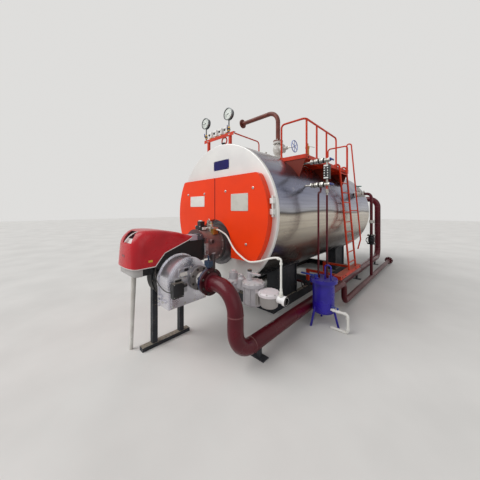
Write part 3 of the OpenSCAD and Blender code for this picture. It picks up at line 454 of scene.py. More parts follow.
def linear(code: str) -> tuple[float, float, float, float]:
    """Turns an sRGB colour to the linear values that Blender works in.

    Args:
        code: the colour as a hex code.

    Returns:
        Red, green, blue and an alpha of 1.
    """
    c = np.array([int(code[i : i + 2], 16) for i in (1, 3, 5)]) / 255
    c = np.where(c <= 0.04045, c / 12.92, ((c + 0.055) / 1.055) ** 2.4)
    return (float(c[0]), float(c[1]), float(c[2]), 1.0)


def per_mm(size: float) -> float:
    """The noise scale, per metre, whose features are about this many millimetres."""
    return 1000.0 / size


def add(tree: Tree, kind: str, links: dict | None = None, out: int | str = 0,
        **settings: str | int | bool) -> Socket | None:
    """Adds a node.

    Args:
        tree: the node tree.
        kind: the node's type, without ShaderNode.
        links: input name or number to the socket that feeds it, or to a plain value.
        out: the name or number of the output that is wanted.
        settings: the node's own properties.

    Returns:
        That output, or None for a node that has no outputs.
    """
    node = tree.nodes.new("ShaderNode" + kind)
    for name, value in settings.items():
        setattr(node, name, value)
    for key, value in (links or {}).items():
        if isinstance(value, Socket):
            tree.links.new(value, node.inputs[key])
        else:
            node.inputs[key].default_value = value
    return node.outputs[out] if node.outputs else None


@dataclass(frozen=True)
class Zone:
    """A box, in drawn mm, in which a carried-over node is painted or made differently."""

    lo: Point
    hi: Point
    colour: str
    metallic: float = 0.0
    roughness: float = 0.45

    def mask(self, tree: Tree, place: Socket) -> Socket:
        """1 inside the box: the largest of |p - middle| / half over the three axes is under 1.

        Args:
            tree: the material's node tree.
            place: the Object coordinates.

        Returns:
            The socket of the mask.
        """
        lo, hi = to_frame(self.lo), to_frame(self.hi)
        off = add(tree, "VectorMath", {0: place, 1: tuple((lo + hi) / 2)}, operation="SUBTRACT")
        size = add(tree, "VectorMath", {0: off}, operation="ABSOLUTE")
        share = add(tree, "VectorMath", {0: size, 1: tuple((hi - lo) / 2)}, operation="DIVIDE")
        part = add(tree, "SeparateXYZ", {0: share}).node.outputs
        first = add(tree, "Math", {0: part[0], 1: part[1]}, operation="MAXIMUM")
        top = add(tree, "Math", {0: first, 1: part[2]}, operation="MAXIMUM")
        return add(tree, "Math", {0: top, 1: 1.0}, operation="LESS_THAN")


@dataclass(frozen=True)
class Finish:
    """A real finish, with its sizes in mm.

    The colour drifts into its shade over clouds of one size, and the roughness by its spread. The
    gloss is the specular level: 0.5 for clean enamel or plastic, and less where weather dulls it.
    Grain, stretch and depth give the fine relief, dents the broad one. Dusty, specks and wear are
    shares from 0 to 1, each with a colour of its own.
    """

    name: str
    colour: str
    shade: str
    cloud: float = 160.0
    metallic: float = 0.0
    roughness: float = 0.45
    spread: float = 0.08
    coat: float = 0.0
    gloss: float = 0.5
    grain: float = 3.0
    stretch: Point = (1.0, 1.0, 1.0)
    depth: float = 0.15
    dents: float = 0.0
    dust: str = "#b9ad9a"
    dusty: float = 0.25
    speck: str = "#3a2c24"
    specks: float = 0.0
    bare: str = "#8d8a86"
    wear: float = 0.0
    zones: tuple[Zone, ...] = ()

    def material(self) -> bpy.types.Material:
        """Builds the material once, and gives the same one after that.

        Returns:
            The material.
        """
        made = bpy.data.materials.get(self.name)
        if made:
            return made
        made = bpy.data.materials.new(self.name)
        made.use_nodes = True
        tree = made.node_tree
        tree.nodes.clear()
        place = add(tree, "TexCoord", out="Object")
        cloud = add(tree, "TexNoise", {"Vector": place, "Scale": per_mm(self.cloud), "Detail": 3.0})
        colour = self.colours(tree, place, cloud)
        least, most = max(self.roughness - self.spread, LEAST_ROUGHNESS), self.roughness + self.spread
        rough = add(tree, "MapRange", {0: cloud, 1: 0.3, 2: 0.7, 3: least, 4: most})
        colour, rough = self.weathered(tree, place, colour, rough)
        colour, rough, metallic = self.zoned(tree, place, colour, rough)
        normal = self.relief(tree, place)
        shader = add(tree, "BsdfPrincipled", {
            "Base Color": colour, "Roughness": rough, "Metallic": metallic, "Normal": normal,
            "Coat Weight": self.coat, "Coat Roughness": COAT_ROUGHNESS, "Specular IOR Level": self.gloss})
        add(tree, "OutputMaterial", {0: shader})
        return made

    def zoned(self, tree: Tree, place: Socket, colour: Socket,
              rough: Socket) -> tuple[Socket, Socket, Socket | float]:
        """Paints the zones over the rest, one after the other.

        Args:
            tree: the material's node tree.
            place: the Object coordinates.
            colour: the colour outside the zones.
            rough: the roughness outside them.

        Returns:
            The sockets of the colour and the roughness, and the metallic as a socket, or as a
            plain number where every zone has the finish's own.
        """
        metallic = self.metallic
        for zone in self.zones:
            mask = zone.mask(tree, place)
            colour = add(tree, "Mix", {0: mask, 6: colour, 7: linear(zone.colour)}, 2, data_type="RGBA")
            rough = add(tree, "Mix", {0: mask, 2: rough, 3: zone.roughness})
            if zone.metallic != self.metallic or not isinstance(metallic, float):
                metallic = add(tree, "Mix", {0: mask, 2: metallic, 3: zone.metallic})
        return colour, rough, metallic

    def colours(self, tree: Tree, place: Socket, cloud: Socket) -> Socket:
        """The clean colour: the main one drifting slowly into its shade.

        Args:
            tree: the material's node tree.
            place: the Object coordinates; not used here.
            cloud: the slow noise.

        Returns:
            The socket of the colour.
        """
        drift = add(tree, "MapRange", {0: cloud, 1: 0.35, 2: 0.68})
        both = {6: linear(self.colour), 7: linear(self.shade)}
        return add(tree, "Mix", {0: drift, **both}, 2, data_type="RGBA")

    def weathered(self, tree: Tree, place: Socket, colour: Socket,
                  rough: Socket) -> tuple[Socket, Socket]:
        """Lays specks, dust on what faces up, and bare edges over the clean colour.

        Dust grows with the upward part of the normal, broken up by noise. An edge is found where
        the normal of a rounded corner differs from the true one.

        Args:
            tree: the material's node tree.
            place: the Object coordinates.
            colour: the clean colour.
            rough: the clean roughness.

        Returns:
            The sockets of the weathered colour and roughness.
        """
        facing = add(tree, "NewGeometry", out="Normal")
        fine = add(tree, "TexNoise", {"Vector": place, "Scale": per_mm(SPECK_SIZE), "Detail": 5.0})
        if self.specks:
            top = 0.72 - 0.2 * self.specks
            mask = add(tree, "MapRange", {0: fine, 1: top, 2: top + 0.04, 4: 0.9})
            colour = add(tree, "Mix", {0: mask, 6: colour, 7: linear(self.speck)}, 2, data_type="RGBA")
        if self.dusty:
            up = add(tree, "SeparateXYZ", {0: facing}, 2)
            level = add(tree, "MapRange", {0: up, 1: 0.25, 2: 1.0, 4: self.dusty * 1.6})
            broken = add(tree, "MapRange", {0: fine, 1: 0.3, 2: 0.7, 3: 0.35})
            mask = add(tree, "Math", {0: level, 1: broken}, operation="MULTIPLY", use_clamp=True)
            colour = add(tree, "Mix", {0: mask, 6: colour, 7: linear(self.dust)}, 2, data_type="RGBA")
            rough = add(tree, "Mix", {0: mask, 2: rough, 3: DUST_ROUGHNESS})
        if self.wear:
            soft = add(tree, "Bevel", {"Radius": WORN_RADIUS / 1000}, samples=4)
            same = add(tree, "VectorMath", {0: soft, 1: facing}, "Value", operation="DOT_PRODUCT")
            edge = add(tree, "MapRange", {0: same, 1: 0.995, 2: 0.93})
            least, most = 0.62 - 0.25 * self.wear, 0.68 - 0.2 * self.wear
            broken = add(tree, "MapRange", {0: fine, 1: least, 2: most})
            mask = add(tree, "Math", {0: edge, 1: broken}, operation="MULTIPLY")
            colour = add(tree, "Mix", {0: mask, 6: colour, 7: linear(self.bare)}, 2, data_type="RGBA")
        return colour, rough

    def relief(self, tree: Tree, place: Socket) -> Socket:
        """The bump: broad dents first, then the grain, drawn out along its stretch.

        Args:
            tree: the material's node tree.
            place: the Object coordinates.

        Returns:
            The socket of the normal.
        """
        links = {"Strength": 0.6, "Distance": self.depth / 1000}
        if self.dents:
            wave = add(tree, "TexNoise", {"Vector": place, "Scale": per_mm(DENT_SIZE), "Detail": 1.0})
            links["Normal"] = add(tree, "Bump", {"Strength": 1.0, "Distance": self.dents / 1000,
                                                 "Height": wave})
        drawn = add(tree, "VectorMath", {0: place, 1: self.stretch}, operation="MULTIPLY")
        noise = {"Vector": drawn, "Scale": per_mm(self.grain), "Detail": 3.0}
        links["Height"] = add(tree, "TexNoise", noise)
        return add(tree, "Bump", links)


@dataclass(frozen=True)
class SheetCladding(Finish):
    """Bright stainless sheet rolled round the shell, as it stands in the yard.

    The sheet shows the sky above its middle and the concrete below, parted by a dark line at eye
    Its colour is a painted reflection, a ramp over the height: the sky above the shell's middle and
    the concrete below, parted by a dark line at eye height, and darkest at the bottom, where it is
    painted shade. Fine lines run along the roll, and scuffs left by ropes show as pale scribbles near
    the top. Waves, lines and scuffs are sizes in mm, and the ramp gives a colour at each share of
    the height.
    """

    waves: float = 500.0
    lines: float = 26.0
    line_colour: str = "#4c4a54"
    scuffs: float = 520.0
    scuff_colour: str = "#c9c2c0"
    ramp: tuple[tuple[float, str], ...] = (
        (0.0, "#242221"), (0.10, "#3f3a37"), (0.19, "#6f675f"), (0.30, "#a1978a"), (0.42, "#c2b8a8"),
        (0.492, "#c9c0b2"), (0.506, "#8c8478"), (0.516, "#4f4a49"), (0.528, "#a4a4a8"), (0.56, "#a3a4b0"),
        (0.64, "#82859b"), (0.76, "#70748b"), (0.87, "#80808e"), (0.94, "#a5a1a2"), (1.0, "#d2cec8"))

    def colours(self, tree: Tree, place: Socket, cloud: Socket) -> Socket:
        """The ramp over the height, shaken by slow waves along the shell, with lines and scuffs.

        Args:
            tree: the material's node tree.
            place: the Object coordinates.
            cloud: the slow noise.

        Returns:
            The socket of the colour.
        """
        # The ramp is the painted reflection, with painted shade at the bottom.
        share = self.height_share(tree, place)
        ramp = add(tree, "ValToRGB", {0: share})
        stops = ramp.node.color_ramp.elements
        for i, (at, code) in enumerate(self.ramp):
            stop = stops[i] if i < 2 else stops.new(at)
            stop.position, stop.color = at, linear(code)
        drawn = add(tree, "VectorMath", {0: place, 1: (1.0, 0.02, 1.0)}, operation="MULTIPLY")
        lines = add(tree, "TexNoise", {"Vector": drawn, "Scale": per_mm(self.lines), "Detail": 4.0})
        mask = add(tree, "MapRange", {0: lines, 1: 0.45, 2: 0.7, 4: 0.28})
        colour = add(tree, "Mix", {0: mask, 6: ramp, 7: linear(self.line_colour)}, 2, data_type="RGBA")
        scuff = self.scuffed(tree, place, cloud, share)
        return add(tree, "Mix", {0: scuff, 6: colour, 7: linear(self.scuff_colour)}, 2, data_type="RGBA")

    def height_share(self, tree: Tree, place: Socket) -> Socket:
        """The share of the shell's height, moved up and down by slow waves along the shell.

        Args:
            tree: the material's node tree.
            place: the Object coordinates.

        Returns:
            The socket of the share: 0 at the bottom and 1 at the top.
        """
        height = add(tree, "SeparateXYZ", {0: place}, 2)
        drawn = add(tree, "VectorMath", {0: place, 1: (1.0, 0.35, 2.0)}, operation="MULTIPLY")
        sway = add(tree, "TexNoise", {"Vector": drawn, "Scale": per_mm(self.waves), "Detail": 2.0})
        shift = add(tree, "MapRange", {0: sway, 1: 0.2, 2: 0.8, 3: -0.05, 4: 0.05})
        moved = add(tree, "Math", {0: height, 1: shift}, operation="ADD")
        low, high = (AXIS_Z - SHELL_RADIUS) / 1000, (AXIS_Z + SHELL_RADIUS) / 1000
        return add(tree, "MapRange", {0: moved, 1: low, 2: high})

    def scuffed(self, tree: Tree, place: Socket, cloud: Socket, share: Socket) -> Socket:
        """Scribbles near the top: a slow noise within a hair of its middle, in patches.

        Args:
            tree: the material's node tree.
            place: the Object coordinates.
            cloud: the slow noise that makes the patches.
            share: the share of the height.

        Returns:
            The socket of the mask.
        """
        curl = add(tree, "TexNoise", {"Vector": place, "Scale": per_mm(self.scuffs), "Detail": 1.5,
                                      "Distortion": 1.2})
        near = add(tree, "Math", {0: curl, 1: 0.5, 2: 0.006}, operation="COMPARE")
        patch = add(tree, "MapRange", {0: cloud, 1: 0.46, 2: 0.58, 4: 0.6})
        high = add(tree, "MapRange", {0: share, 1: 0.6, 2: 0.7})
        scuff = add(tree, "Math", {0: near, 1: patch}, operation="MULTIPLY")
        return add(tree, "Math", {0: scuff, 1: high}, operation="MULTIPLY")


# Rolled stainless sheet: mirror-like along the roll, with soft dents. Its colour is a painted reflection
# over the height, with painted shade near the bottom
CLADDING = SheetCladding(
    "rolled_stainless_sheet", "#8a8a98", "#6e7092", cloud=380, metallic=1.0, roughness=0.24, spread=0.05,
    grain=9, stretch=(1.0, 0.03, 1.0), depth=0.12, dents=3.2, dusty=0.06)
# Brushed stainless plate: pale, with a satin sheen and fine lines up and down
END_PLATE = Finish(
    "brushed_stainless_plate", "#e6e5e1", "#d3d2d0", cloud=700, metallic=0.3, roughness=0.42, grain=5,
    stretch=(1.0, 1.0, 0.05), depth=0.05, dusty=0.1)
# Galvanised sheet: dull silver with pale and dark spangle
GALVANISED = Finish(
    "galvanised_sheet", "#b7babc", "#a0a4a8", cloud=42, metallic=0.7, roughness=0.42, grain=14,
    depth=0.12, dents=3.0, dusty=0.2)
# Baked enamel on steel doors: strong orange-red with a little orange peel; the deeper strip between the
# leaves is painted shade in the gap
ORANGE = Finish(
    "orange_door_enamel", "#f23e06", "#e83a08", cloud=420, roughness=0.42, gloss=0.25, grain=11,
    depth=0.09, dusty=0.06, bare="#7d2a12", wear=0.25,
    zones=(Zone((-10, -140, 1400), (10, -100, 2080), "#981804"),))
# Satin machine enamel on the base: almost black, dusty on top
BASE = Finish(
    "base_satin_enamel", "#2b2d33", "#202226", roughness=0.55, gloss=0.35, grain=6, depth=0.2, dusty=0.45,
    specks=0.25, speck="#6b5646", wear=0.5)
# Sand-cast aluminium of the head: brownish and grainy, its flanges greyer
HEAD_CASTING = Finish(
    "sand_cast_head", "#846462", "#665052", cloud=90, metallic=0.3, roughness=0.46, grain=3.5, depth=0.5,
    dusty=0.1, specks=0.15, speck="#4b3a34",
    zones=(Zone((-260, -178, 840), (260, -130, 1370), "#55504f", 0.5, 0.4),
    Zone((-230, -492, 870), (230, -462, 1340), "#5e494a", 0.3, 0.42)))
# Die-cast aluminium of the fan housing: silver, softly mirroring
FAN_CASTING = Finish(
    "die_cast_aluminium", "#dddce2", "#cfced5", cloud=260, metallic=0.85, roughness=0.26, grain=6,
    depth=0.07, dusty=0.06, dents=1.2)
# Black painted steel: satin, with a thin veil of dust
BLACK_STEEL = Finish(
    "black_satin_steel", "#1b1c1f", "#242528", roughness=0.42, gloss=0.35, grain=4, depth=0.12,
    dusty=0.18)
# Moulded ABS from a polished tool: crimson, with a deep soft gloss
CRIMSON = Finish(
    "crimson_moulded_abs", "#c01020", "#a80a1a", cloud=260, roughness=0.3, gloss=0.3, coat=0.12, grain=30,
    depth=0.06, dusty=0.04, dust="#c78a8a")
# Painted shade on the intake's floors, where the slots would only be dark: dark wine, no gloss
SLOT_SHADE = Finish("slot_painted_shade", "#3c0814", "#2a060e", roughness=0.6, gloss=0.2, dusty=0.0)
# Pressed sheet in black enamel: swallows the light. Deep in the gas inlet's bore the same black is painted
# shade
PAN_BLACK_AND_SHADE = Finish("burner_pan_black_and_bore_shade", "#0d0d0f", "#151517", roughness=0.5, gloss=0.3, dusty=0.1)
# Moulded ABS of the tray: even grey, half matt
TROUGH = Finish("trough_grey_abs", "#b4b2b0", "#a19f9d", cloud=120, roughness=0.42, dusty=0.15)
# Extruded PVC edge strip: pinkish white, half matt. On the cover's intake the same pinkish white is a
# painted highlight on the slots' walls, ridge and sill
TRIM_AND_HIGHLIGHT = Finish("pale_trim_and_slot_highlight", "#e6dfdc", "#d8cfcc", roughness=0.4, dusty=0.15)
# Extruded PVC conduit: warm white with a soft shine
WHITE_PLASTIC = Finish("white_pvc", "#e9e8e3", "#dcdad2", roughness=0.38, grain=5, depth=0.06, dusty=0.25)
# Machined brass: yellow, with turned highlights
BRASS = Finish("machined_brass", "#c9a35a", "#a98445", cloud=40, metallic=1.0, roughness=0.3, dusty=0.1)
# Zinc-plated fasteners: bright and slightly cloudy
STEEL = Finish("zinc_plated_steel", "#d2d1cd", "#b3b0aa", cloud=30, metallic=0.95, roughness=0.3, dusty=0.1)
# Oiled bolts, rods and gland rings: dark, with dull highlights
DARK_STEEL = Finish(
    "dark_bolt_steel", "#4a4745", "#37312e", cloud=30, metallic=0.8, roughness=0.45, dusty=0.2)
# Cast valve bodies in cool grey enamel: the inlet and the filter's lid paler, the filter's bowl darker
VALVE_GREY = Finish(
    "cool_grey_enamel", "#b6b2b5", "#a4a0a4", cloud=90, roughness=0.42, grain=4, depth=0.35, dusty=0.3,
    dust="#d9d6d3", specks=0.1, speck="#857d7c",
    zones=(Zone((975, -425, 545), (1224, -175, 672), "#9c9794"),
    Zone((975, -425, 672), (1224, -175, 720), "#d3ccce"),
    Zone((1225, -380, 600), (1340, -220, 720), "#e0dedd"),
    Zone((70, -380, 770), (230, -220, 990), "#4a4648", 0.3)))
# White enamel on the spool, rubbed off its flange
SPOOL = Finish(
    "white_spool_enamel", "#d8d6d4", "#c6c2bf", roughness=0.42, dusty=0.3, specks=0.1, speck="#80766e",
    zones=(Zone((440, -890, 670), (482, -590, 970), "#8b8684", 0.6, 0.45),))
# Dark blue enamel on cast iron: glossy, chipped along its edges
VALVE_BLUE = Finish(
    "dark_blue_enamel", "#17244a", "#121b33", cloud=60, roughness=0.34, gloss=0.4, coat=0.1, grain=4,
    depth=0.3, dusty=0.12, wear=0.3, zones=(Zone((560, -800, 975), (680, -680, 1080), "#1a3048"),))
# Maroon enamel on drawn pipe: glossy and deep, with its stands in dark grey; the elbow's flange is darker
# maroon, painted shade
MAROON = Finish(
    "maroon_pipe_enamel", "#5a0e1c", "#480a16", cloud=300, roughness=0.3, gloss=0.22, coat=0.1, grain=18,
    depth=0.12, dusty=0.03, dust="#7c5a58", zones=(Zone((900, -500, -1), (1160, 5400, 100), "#3b3c40"),
    # Painted shade: the elbow's flange in darker maroon.
    Zone((640, -900, 660), (673, -580, 980), "#34080f")))
# The same enamel over the welds, lighter than the pipe: a painted highlight where the raised bead catches
# the light
WELD_MAROON = Finish(
    "weld_under_enamel", "#74343a", "#5a2026", cloud=12, roughness=0.4, gloss=0.4, coat=0.1, grain=5,
    depth=0.8, dusty=0.2)
# Thin maroon enamel on the drain pipes: duller, with the valve and its union in dark iron
DRAIN_PIPE = Finish(
    "drain_pipe_enamel", "#560e1a", "#440a14", cloud=250, roughness=0.34, gloss=0.22, coat=0.08, grain=14,
    depth=0.15, dusty=0.1, dust="#8f766c",
    zones=(Zone((700, 1270, 240), (822, 1400, 400), "#34363a", 0.2, 0.45),
    Zone((690, 1205, 240), (830, 1230, 400), "#26282c", 0.2, 0.4)))
# The same enamel on the feed line: its valves in pale grey, its bonnet green, its gate valve black
FEED_PIPE = replace(
    DRAIN_PIPE, name="feed_pipe_enamel", zones=(Zone((985, 3190, 1865), (1180, 3370, 2120), "#c4c1ba"),
    Zone((980, 3200, 2120), (1130, 3360, 2155), "#1f6e62"),
    Zone((1230, 3190, 820), (1410, 3370, 1040), "#232428"),
    Zone((1240, 3115, 850), (1400, 3191, 1010), "#1c1d20")))
# Brushed oxide primer: dull brown-red with darker specks
OXIDE = Finish(
    "oxide_primer", "#74382c", "#5f2c24", cloud=120, gloss=0.35, roughness=0.45, grain=6, depth=0.15,
    dusty=0.25, specks=0.12, speck="#54281f")
# Red enamel on rails and angle iron: half matt from weather, chipped along its edges
RACK_RED = Finish(
    "red_rail_enamel", "#d23a1a", "#bb3014", cloud=150, roughness=0.44, gloss=0.25, grain=8, depth=0.12,
    dusty=0.25, wear=0.35, bare="#6a4a40")
# The same enamel on the deck, with painted shade on the brackets underneath: a dark red-brown for the
# shadow under the deck
DECK_RED = replace(
    RACK_RED, name="deck_enamel_and_bracket_shade", wear=0.0,
    # Painted shade on the brackets under the deck.
    zones=(Zone((500, 700, 1900), (1010, 2800, 2368), "#6e2618", 0.1, 0.45),))
# Moulded ABS of the switches: clean white, half matt
SWITCH_WHITE = Finish("switch_white_abs", "#eceae6", "#dedcd8", roughness=0.38, dusty=0.1)
# Pressed and polished gauge case: dark grey mirror
GAUGE_CASE = Finish("polished_gauge_case", "#56585c", "#3f4144", metallic=0.9, roughness=0.3, dusty=0.15)
# Polished bezel: a bright ring round the dial
GAUGE_RIM = Finish("polished_gauge_rim", "#a9adac", "#8e9291", metallic=0.9, roughness=0.28, dusty=0.1)
# Printed aluminium dial behind glass: greenish white
GAUGE_FACE = Finish("white_dial", "#dfe4dd", "#d2d8d1", roughness=0.35, gloss=0.3, dusty=0.0)
# Screen-printed ink: matt black
BLACK_INK = Finish("black_print", "#17181a", "#1c1d20", roughness=0.5, dusty=0.0)
# Phosphated forged body of the level gauge: matt black
GAUGE_BLACK = Finish("black_gauge_body", "#202124", "#17181a", roughness=0.4, dusty=0.2)
# Glass and card of the sight marks: clean white
WHITE_MARK = Finish("white_sight_mark", "#f0f0ec", "#e2e2de", roughness=0.3, dusty=0.0)
# Turned and ground steel cocks: grey with dull highlights, levers in blue, one cap in red
FITTING = Finish(
    "ground_steel_fitting", "#b9b6ae", "#98938a", cloud=40, metallic=0.55, roughness=0.42, grain=3,
    depth=0.3, dusty=0.2, specks=0.15, speck="#6e6258",
    zones=(Zone((1339, 790, 1900), (1420, 890, 2400), "#26397e"),
    Zone((1262, 800, 1890), (1318, 880, 1936), "#b8402c")))
# Thick violet-blue enamel on welded steel: glossy and slightly wavy, one pipe in plain blue
TANK_BLUE = Finish(
    "violet_blue_enamel", "#28189a", "#1e1282", cloud=140, roughness=0.32, gloss=0.4, coat=0.12, grain=14,
    depth=0.2, dusty=0.18, dust="#8d86a8", zones=(Zone((960, 680, 660), (1230, 712, 700), "#1d3fa6"),))
# Dipped vinyl on levers: strong blue, rubbery
BLUE_HANDLE = Finish("blue_handle_vinyl", "#1f429c", "#193580", roughness=0.38, dusty=0.15)
# Moulded black ABS: half matt
BLACK_PLASTIC = Finish("black_abs", "#19191b", "#222225", roughness=0.4, dusty=0.2)
# Enamelled plate without any print: deep navy
NAVY_PLATE = Finish("navy_enamel_plate", "#140e62", "#110b50", roughness=0.4, gloss=0.2, dusty=0.05)
# Painted sheet without any print: off-white
BARE_PLATE = Finish("bare_plate", "#e6e4de", "#dad7d0", roughness=0.4, dusty=0.05)
# Anodised data plate left blank: satin grey
DATA_PLATE = Finish("satin_data_plate", "#cfcdc4", "#bdbab0", metallic=0.4, roughness=0.4, dusty=0.05)
# Powder-coated control box: lilac grey
CONTROL_GREY = Finish("control_box_grey", "#aaa6b2", "#98949f", roughness=0.42, dusty=0.1)
# Moulded cover of the control box: slate
CONTROL_DARK = Finish("control_box_dark", "#454a54", "#363a43", roughness=0.42, dusty=0.1)
# Sand-blasted hinge strip: dull light grey
HINGE_STEEL = Finish(
    "sand_blasted_steel", "#a6a4a3", "#87858a", cloud=30, metallic=0.3, roughness=0.5, dusty=0.05)
# Rubber of cables and gaskets: matt black
RUBBER = Finish("black_cable_rubber", "#141415", "#1b1b1c", roughness=0.5, dusty=0.15)
# Blank plate on the cover's front: russet
RUSSET_PLATE = Finish("russet_blank_plate", "#7c3438", "#6a2a2e", roughness=0.35, dusty=0.05)
# Blank label on the cover's side: yellow film
YELLOW_PLATE = Finish("yellow_blank_label", "#d9b93c", "#cbaa30", roughness=0.45, dusty=0.05)
# Black moulded drive with its die-cast face left grey
DRIVE_BLACK = Finish(
    "drive_black", "#1b1b1d", "#242427", roughness=0.36, grain=3, depth=0.1, dusty=0.15,
    zones=(Zone((430, -1070, 700), (469.5, -900, 880), "#a9a8a8", 0.5, 0.4),
    Zone((430, -989, 700), (482, -900, 880), "#bdbcba", 0.5, 0.4)))
# White enamel on the burner's leg: greyish, specked
LEG_WHITE = Finish("leg_white_enamel", "#d3d1cb", "#bdb9b2", roughness=0.45, dusty=0.2, specks=0.2)
# Turned steel ring under grey enamel: dark, half bright
RING_DARK = Finish(
    "ring_dark_enamel", "#6f6d6e", "#57555a", cloud=90, roughness=0.34, metallic=0.5, dusty=0.1)
# Pilot gear: plated steel, with a black box, a grey column and a brass valve
PILOT_GEAR = Finish(
    "pilot_gear", "#c4bfb6", "#a29d94", cloud=40, metallic=0.7, roughness=0.35, dusty=0.15, grain=2,
    zones=(Zone((-90, -430, 1280), (45, -310, 1440), "#1a1a1c"),
    Zone((-45, -270, 1300), (5, -210, 1450), "#b5b2ac", 0.8, 0.3),
    Zone((96, -300, 1240), (170, -208, 1330), "#b9964e", 0.9, 0.35)))
# Plain studio floor: pale and matt
PALE_FLOOR = Finish("pale_floor", "#dedcd8", "#d6d4d0", cloud=900, roughness=0.8, dusty=0.0, depth=0.05)
# Cast iron in pale grey enamel: grainy and specked
CAST_VALVE = Finish(
    "check_valve_enamel", "#cfcdc8", "#b4b1ab", cloud=80, roughness=0.45, grain=4, depth=0.35, dusty=0.25,
    specks=0.15, speck="#7b6a5e")
# The same enamel on the steam valve, with a blue wheel on a bright stem
STEAM_VALVE = replace(
    CAST_VALVE, name="steam_valve_enamel",
    zones=(Zone((366, 1400, 2600), (420, 1700, 3060), "#9fb0da", 0.0, 0.38),
    Zone((220, 1500, 2790), (366, 1600, 2870), "#b4b1aa", 0.9, 0.35)))
# The same enamel on the safety valve, with a bonnet in brass colour
SAFETY_VALVE = replace(
    CAST_VALVE, name="safety_valve_enamel",
    zones=(Zone((-60, 2800, 2870), (60, 2940, 3270), "#b0793f", 0.4, 0.4),))


# Pieces


def piece(name: str, slot: str, form: Form, *finishes: Finish) -> bpy.types.Object:
    """Makes a form a mesh object that rides on the boiler.

    Args:
        name: the piece's name.
        slot: a material slot's name; not used.
        form: the form in drawn mm.
        finishes: the finishes that the form's tint numbers count.

    Returns:
        The new object.
    """
    mesh = bpy.data.meshes.new(name)
    points = to_frame(form.points).astype(np.float32)
    mesh.vertices.add(len(points))
    mesh.vertices.foreach_set("co", points.ravel())
    corners = np.concatenate([f.ravel() for f in form.faces]).astype(np.int32)
    counts = np.concatenate([np.full(len(f), f.shape[1]) for f in form.faces]).astype(np.int32)
    tint = np.concatenate([np.broadcast_to(t, len(f)) for t, f in zip(form.tint, form.faces)])
    mesh.loops.add(len(corners))
    mesh.loops.foreach_set("vertex_index", corners)
    mesh.polygons.add(len(counts))
    starts = np.concatenate([[0], np.cumsum(counts)[:-1]])
    mesh.polygons.foreach_set("loop_start", starts.astype(np.int32))
    mesh.polygons.foreach_set("material_index", tint.astype(np.int32))
    mesh.update(calc_edges=True)
    mesh.validate()
    mesh.polygons.foreach_set("use_smooth", np.ones(len(mesh.polygons), bool))
    mesh.set_sharp_from_angle(angle=SHARP)
    for finish in finishes:
        mesh.materials.append(finish.material())
    made = bpy.data.objects.new(name, mesh)
    bpy.context.scene.collection.objects.link(made)
    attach(made, "root")
    log.info("%s: %d faces", name, len(counts))
    return made


def dress(finish: Finish, *nodes: str) -> None:
    """Gives carried-over nodes one finish.

    Args:
        finish: the finish.
        nodes: the nodes' names.
    """
    for node in nodes:
        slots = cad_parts[node].data.materials
        slots.clear()
        slots.append(finish.material())
        log.info("%s: %s", node, finish.name)


def numeral(text: str, height: float, at: np.ndarray) -> Form:
    """A plain number as flat faces that look to the front.

    Args:
        text: the number.
        height: its size in mm.
        at: where its middle lies.

    Returns:
        The faces of the letters as Blender's own font fills them.
    """
    data = bpy.data.curves.new("numeral", "FONT")
    data.body, data.size, data.extrude = text, 1.0, 0.0
    data.align_x, data.align_y, data.resolution_u = "CENTER", "CENTER", 2
    made = bpy.data.objects.new("numeral", data)
    mesh = made.to_mesh()
    mesh.calc_loop_triangles()
    flat = np.zeros(len(mesh.vertices) * 3)
    mesh.vertices.foreach_get("co", flat)
    faces = np.zeros(len(mesh.loop_triangles) * 3, np.int32)
    mesh.loop_triangles.foreach_get("vertices", faces)
    made.to_mesh_clear()
    bpy.data.objects.remove(made)
    bpy.data.curves.remove(data)
    flat, faces = flat.reshape(-1, 3), faces.reshape(-1, 3)
    points = np.stack([flat[:, 0] * height, np.zeros(len(flat)), flat[:, 1] * height], -1) + at
    a, b, c = (points[faces[:, i]] for i in range(3))
    away = np.cross(b - a, c - a)[:, 1] > 0
    faces[away] = faces[away][:, ::-1]
    return Form(points, [faces])


@dataclass(frozen=True)
class Lamp:
    """A distant soft lamp: its power, how wide it spreads in radians, and the way it shines."""

    name: str
    power: float
    spread: float
    aim: Point


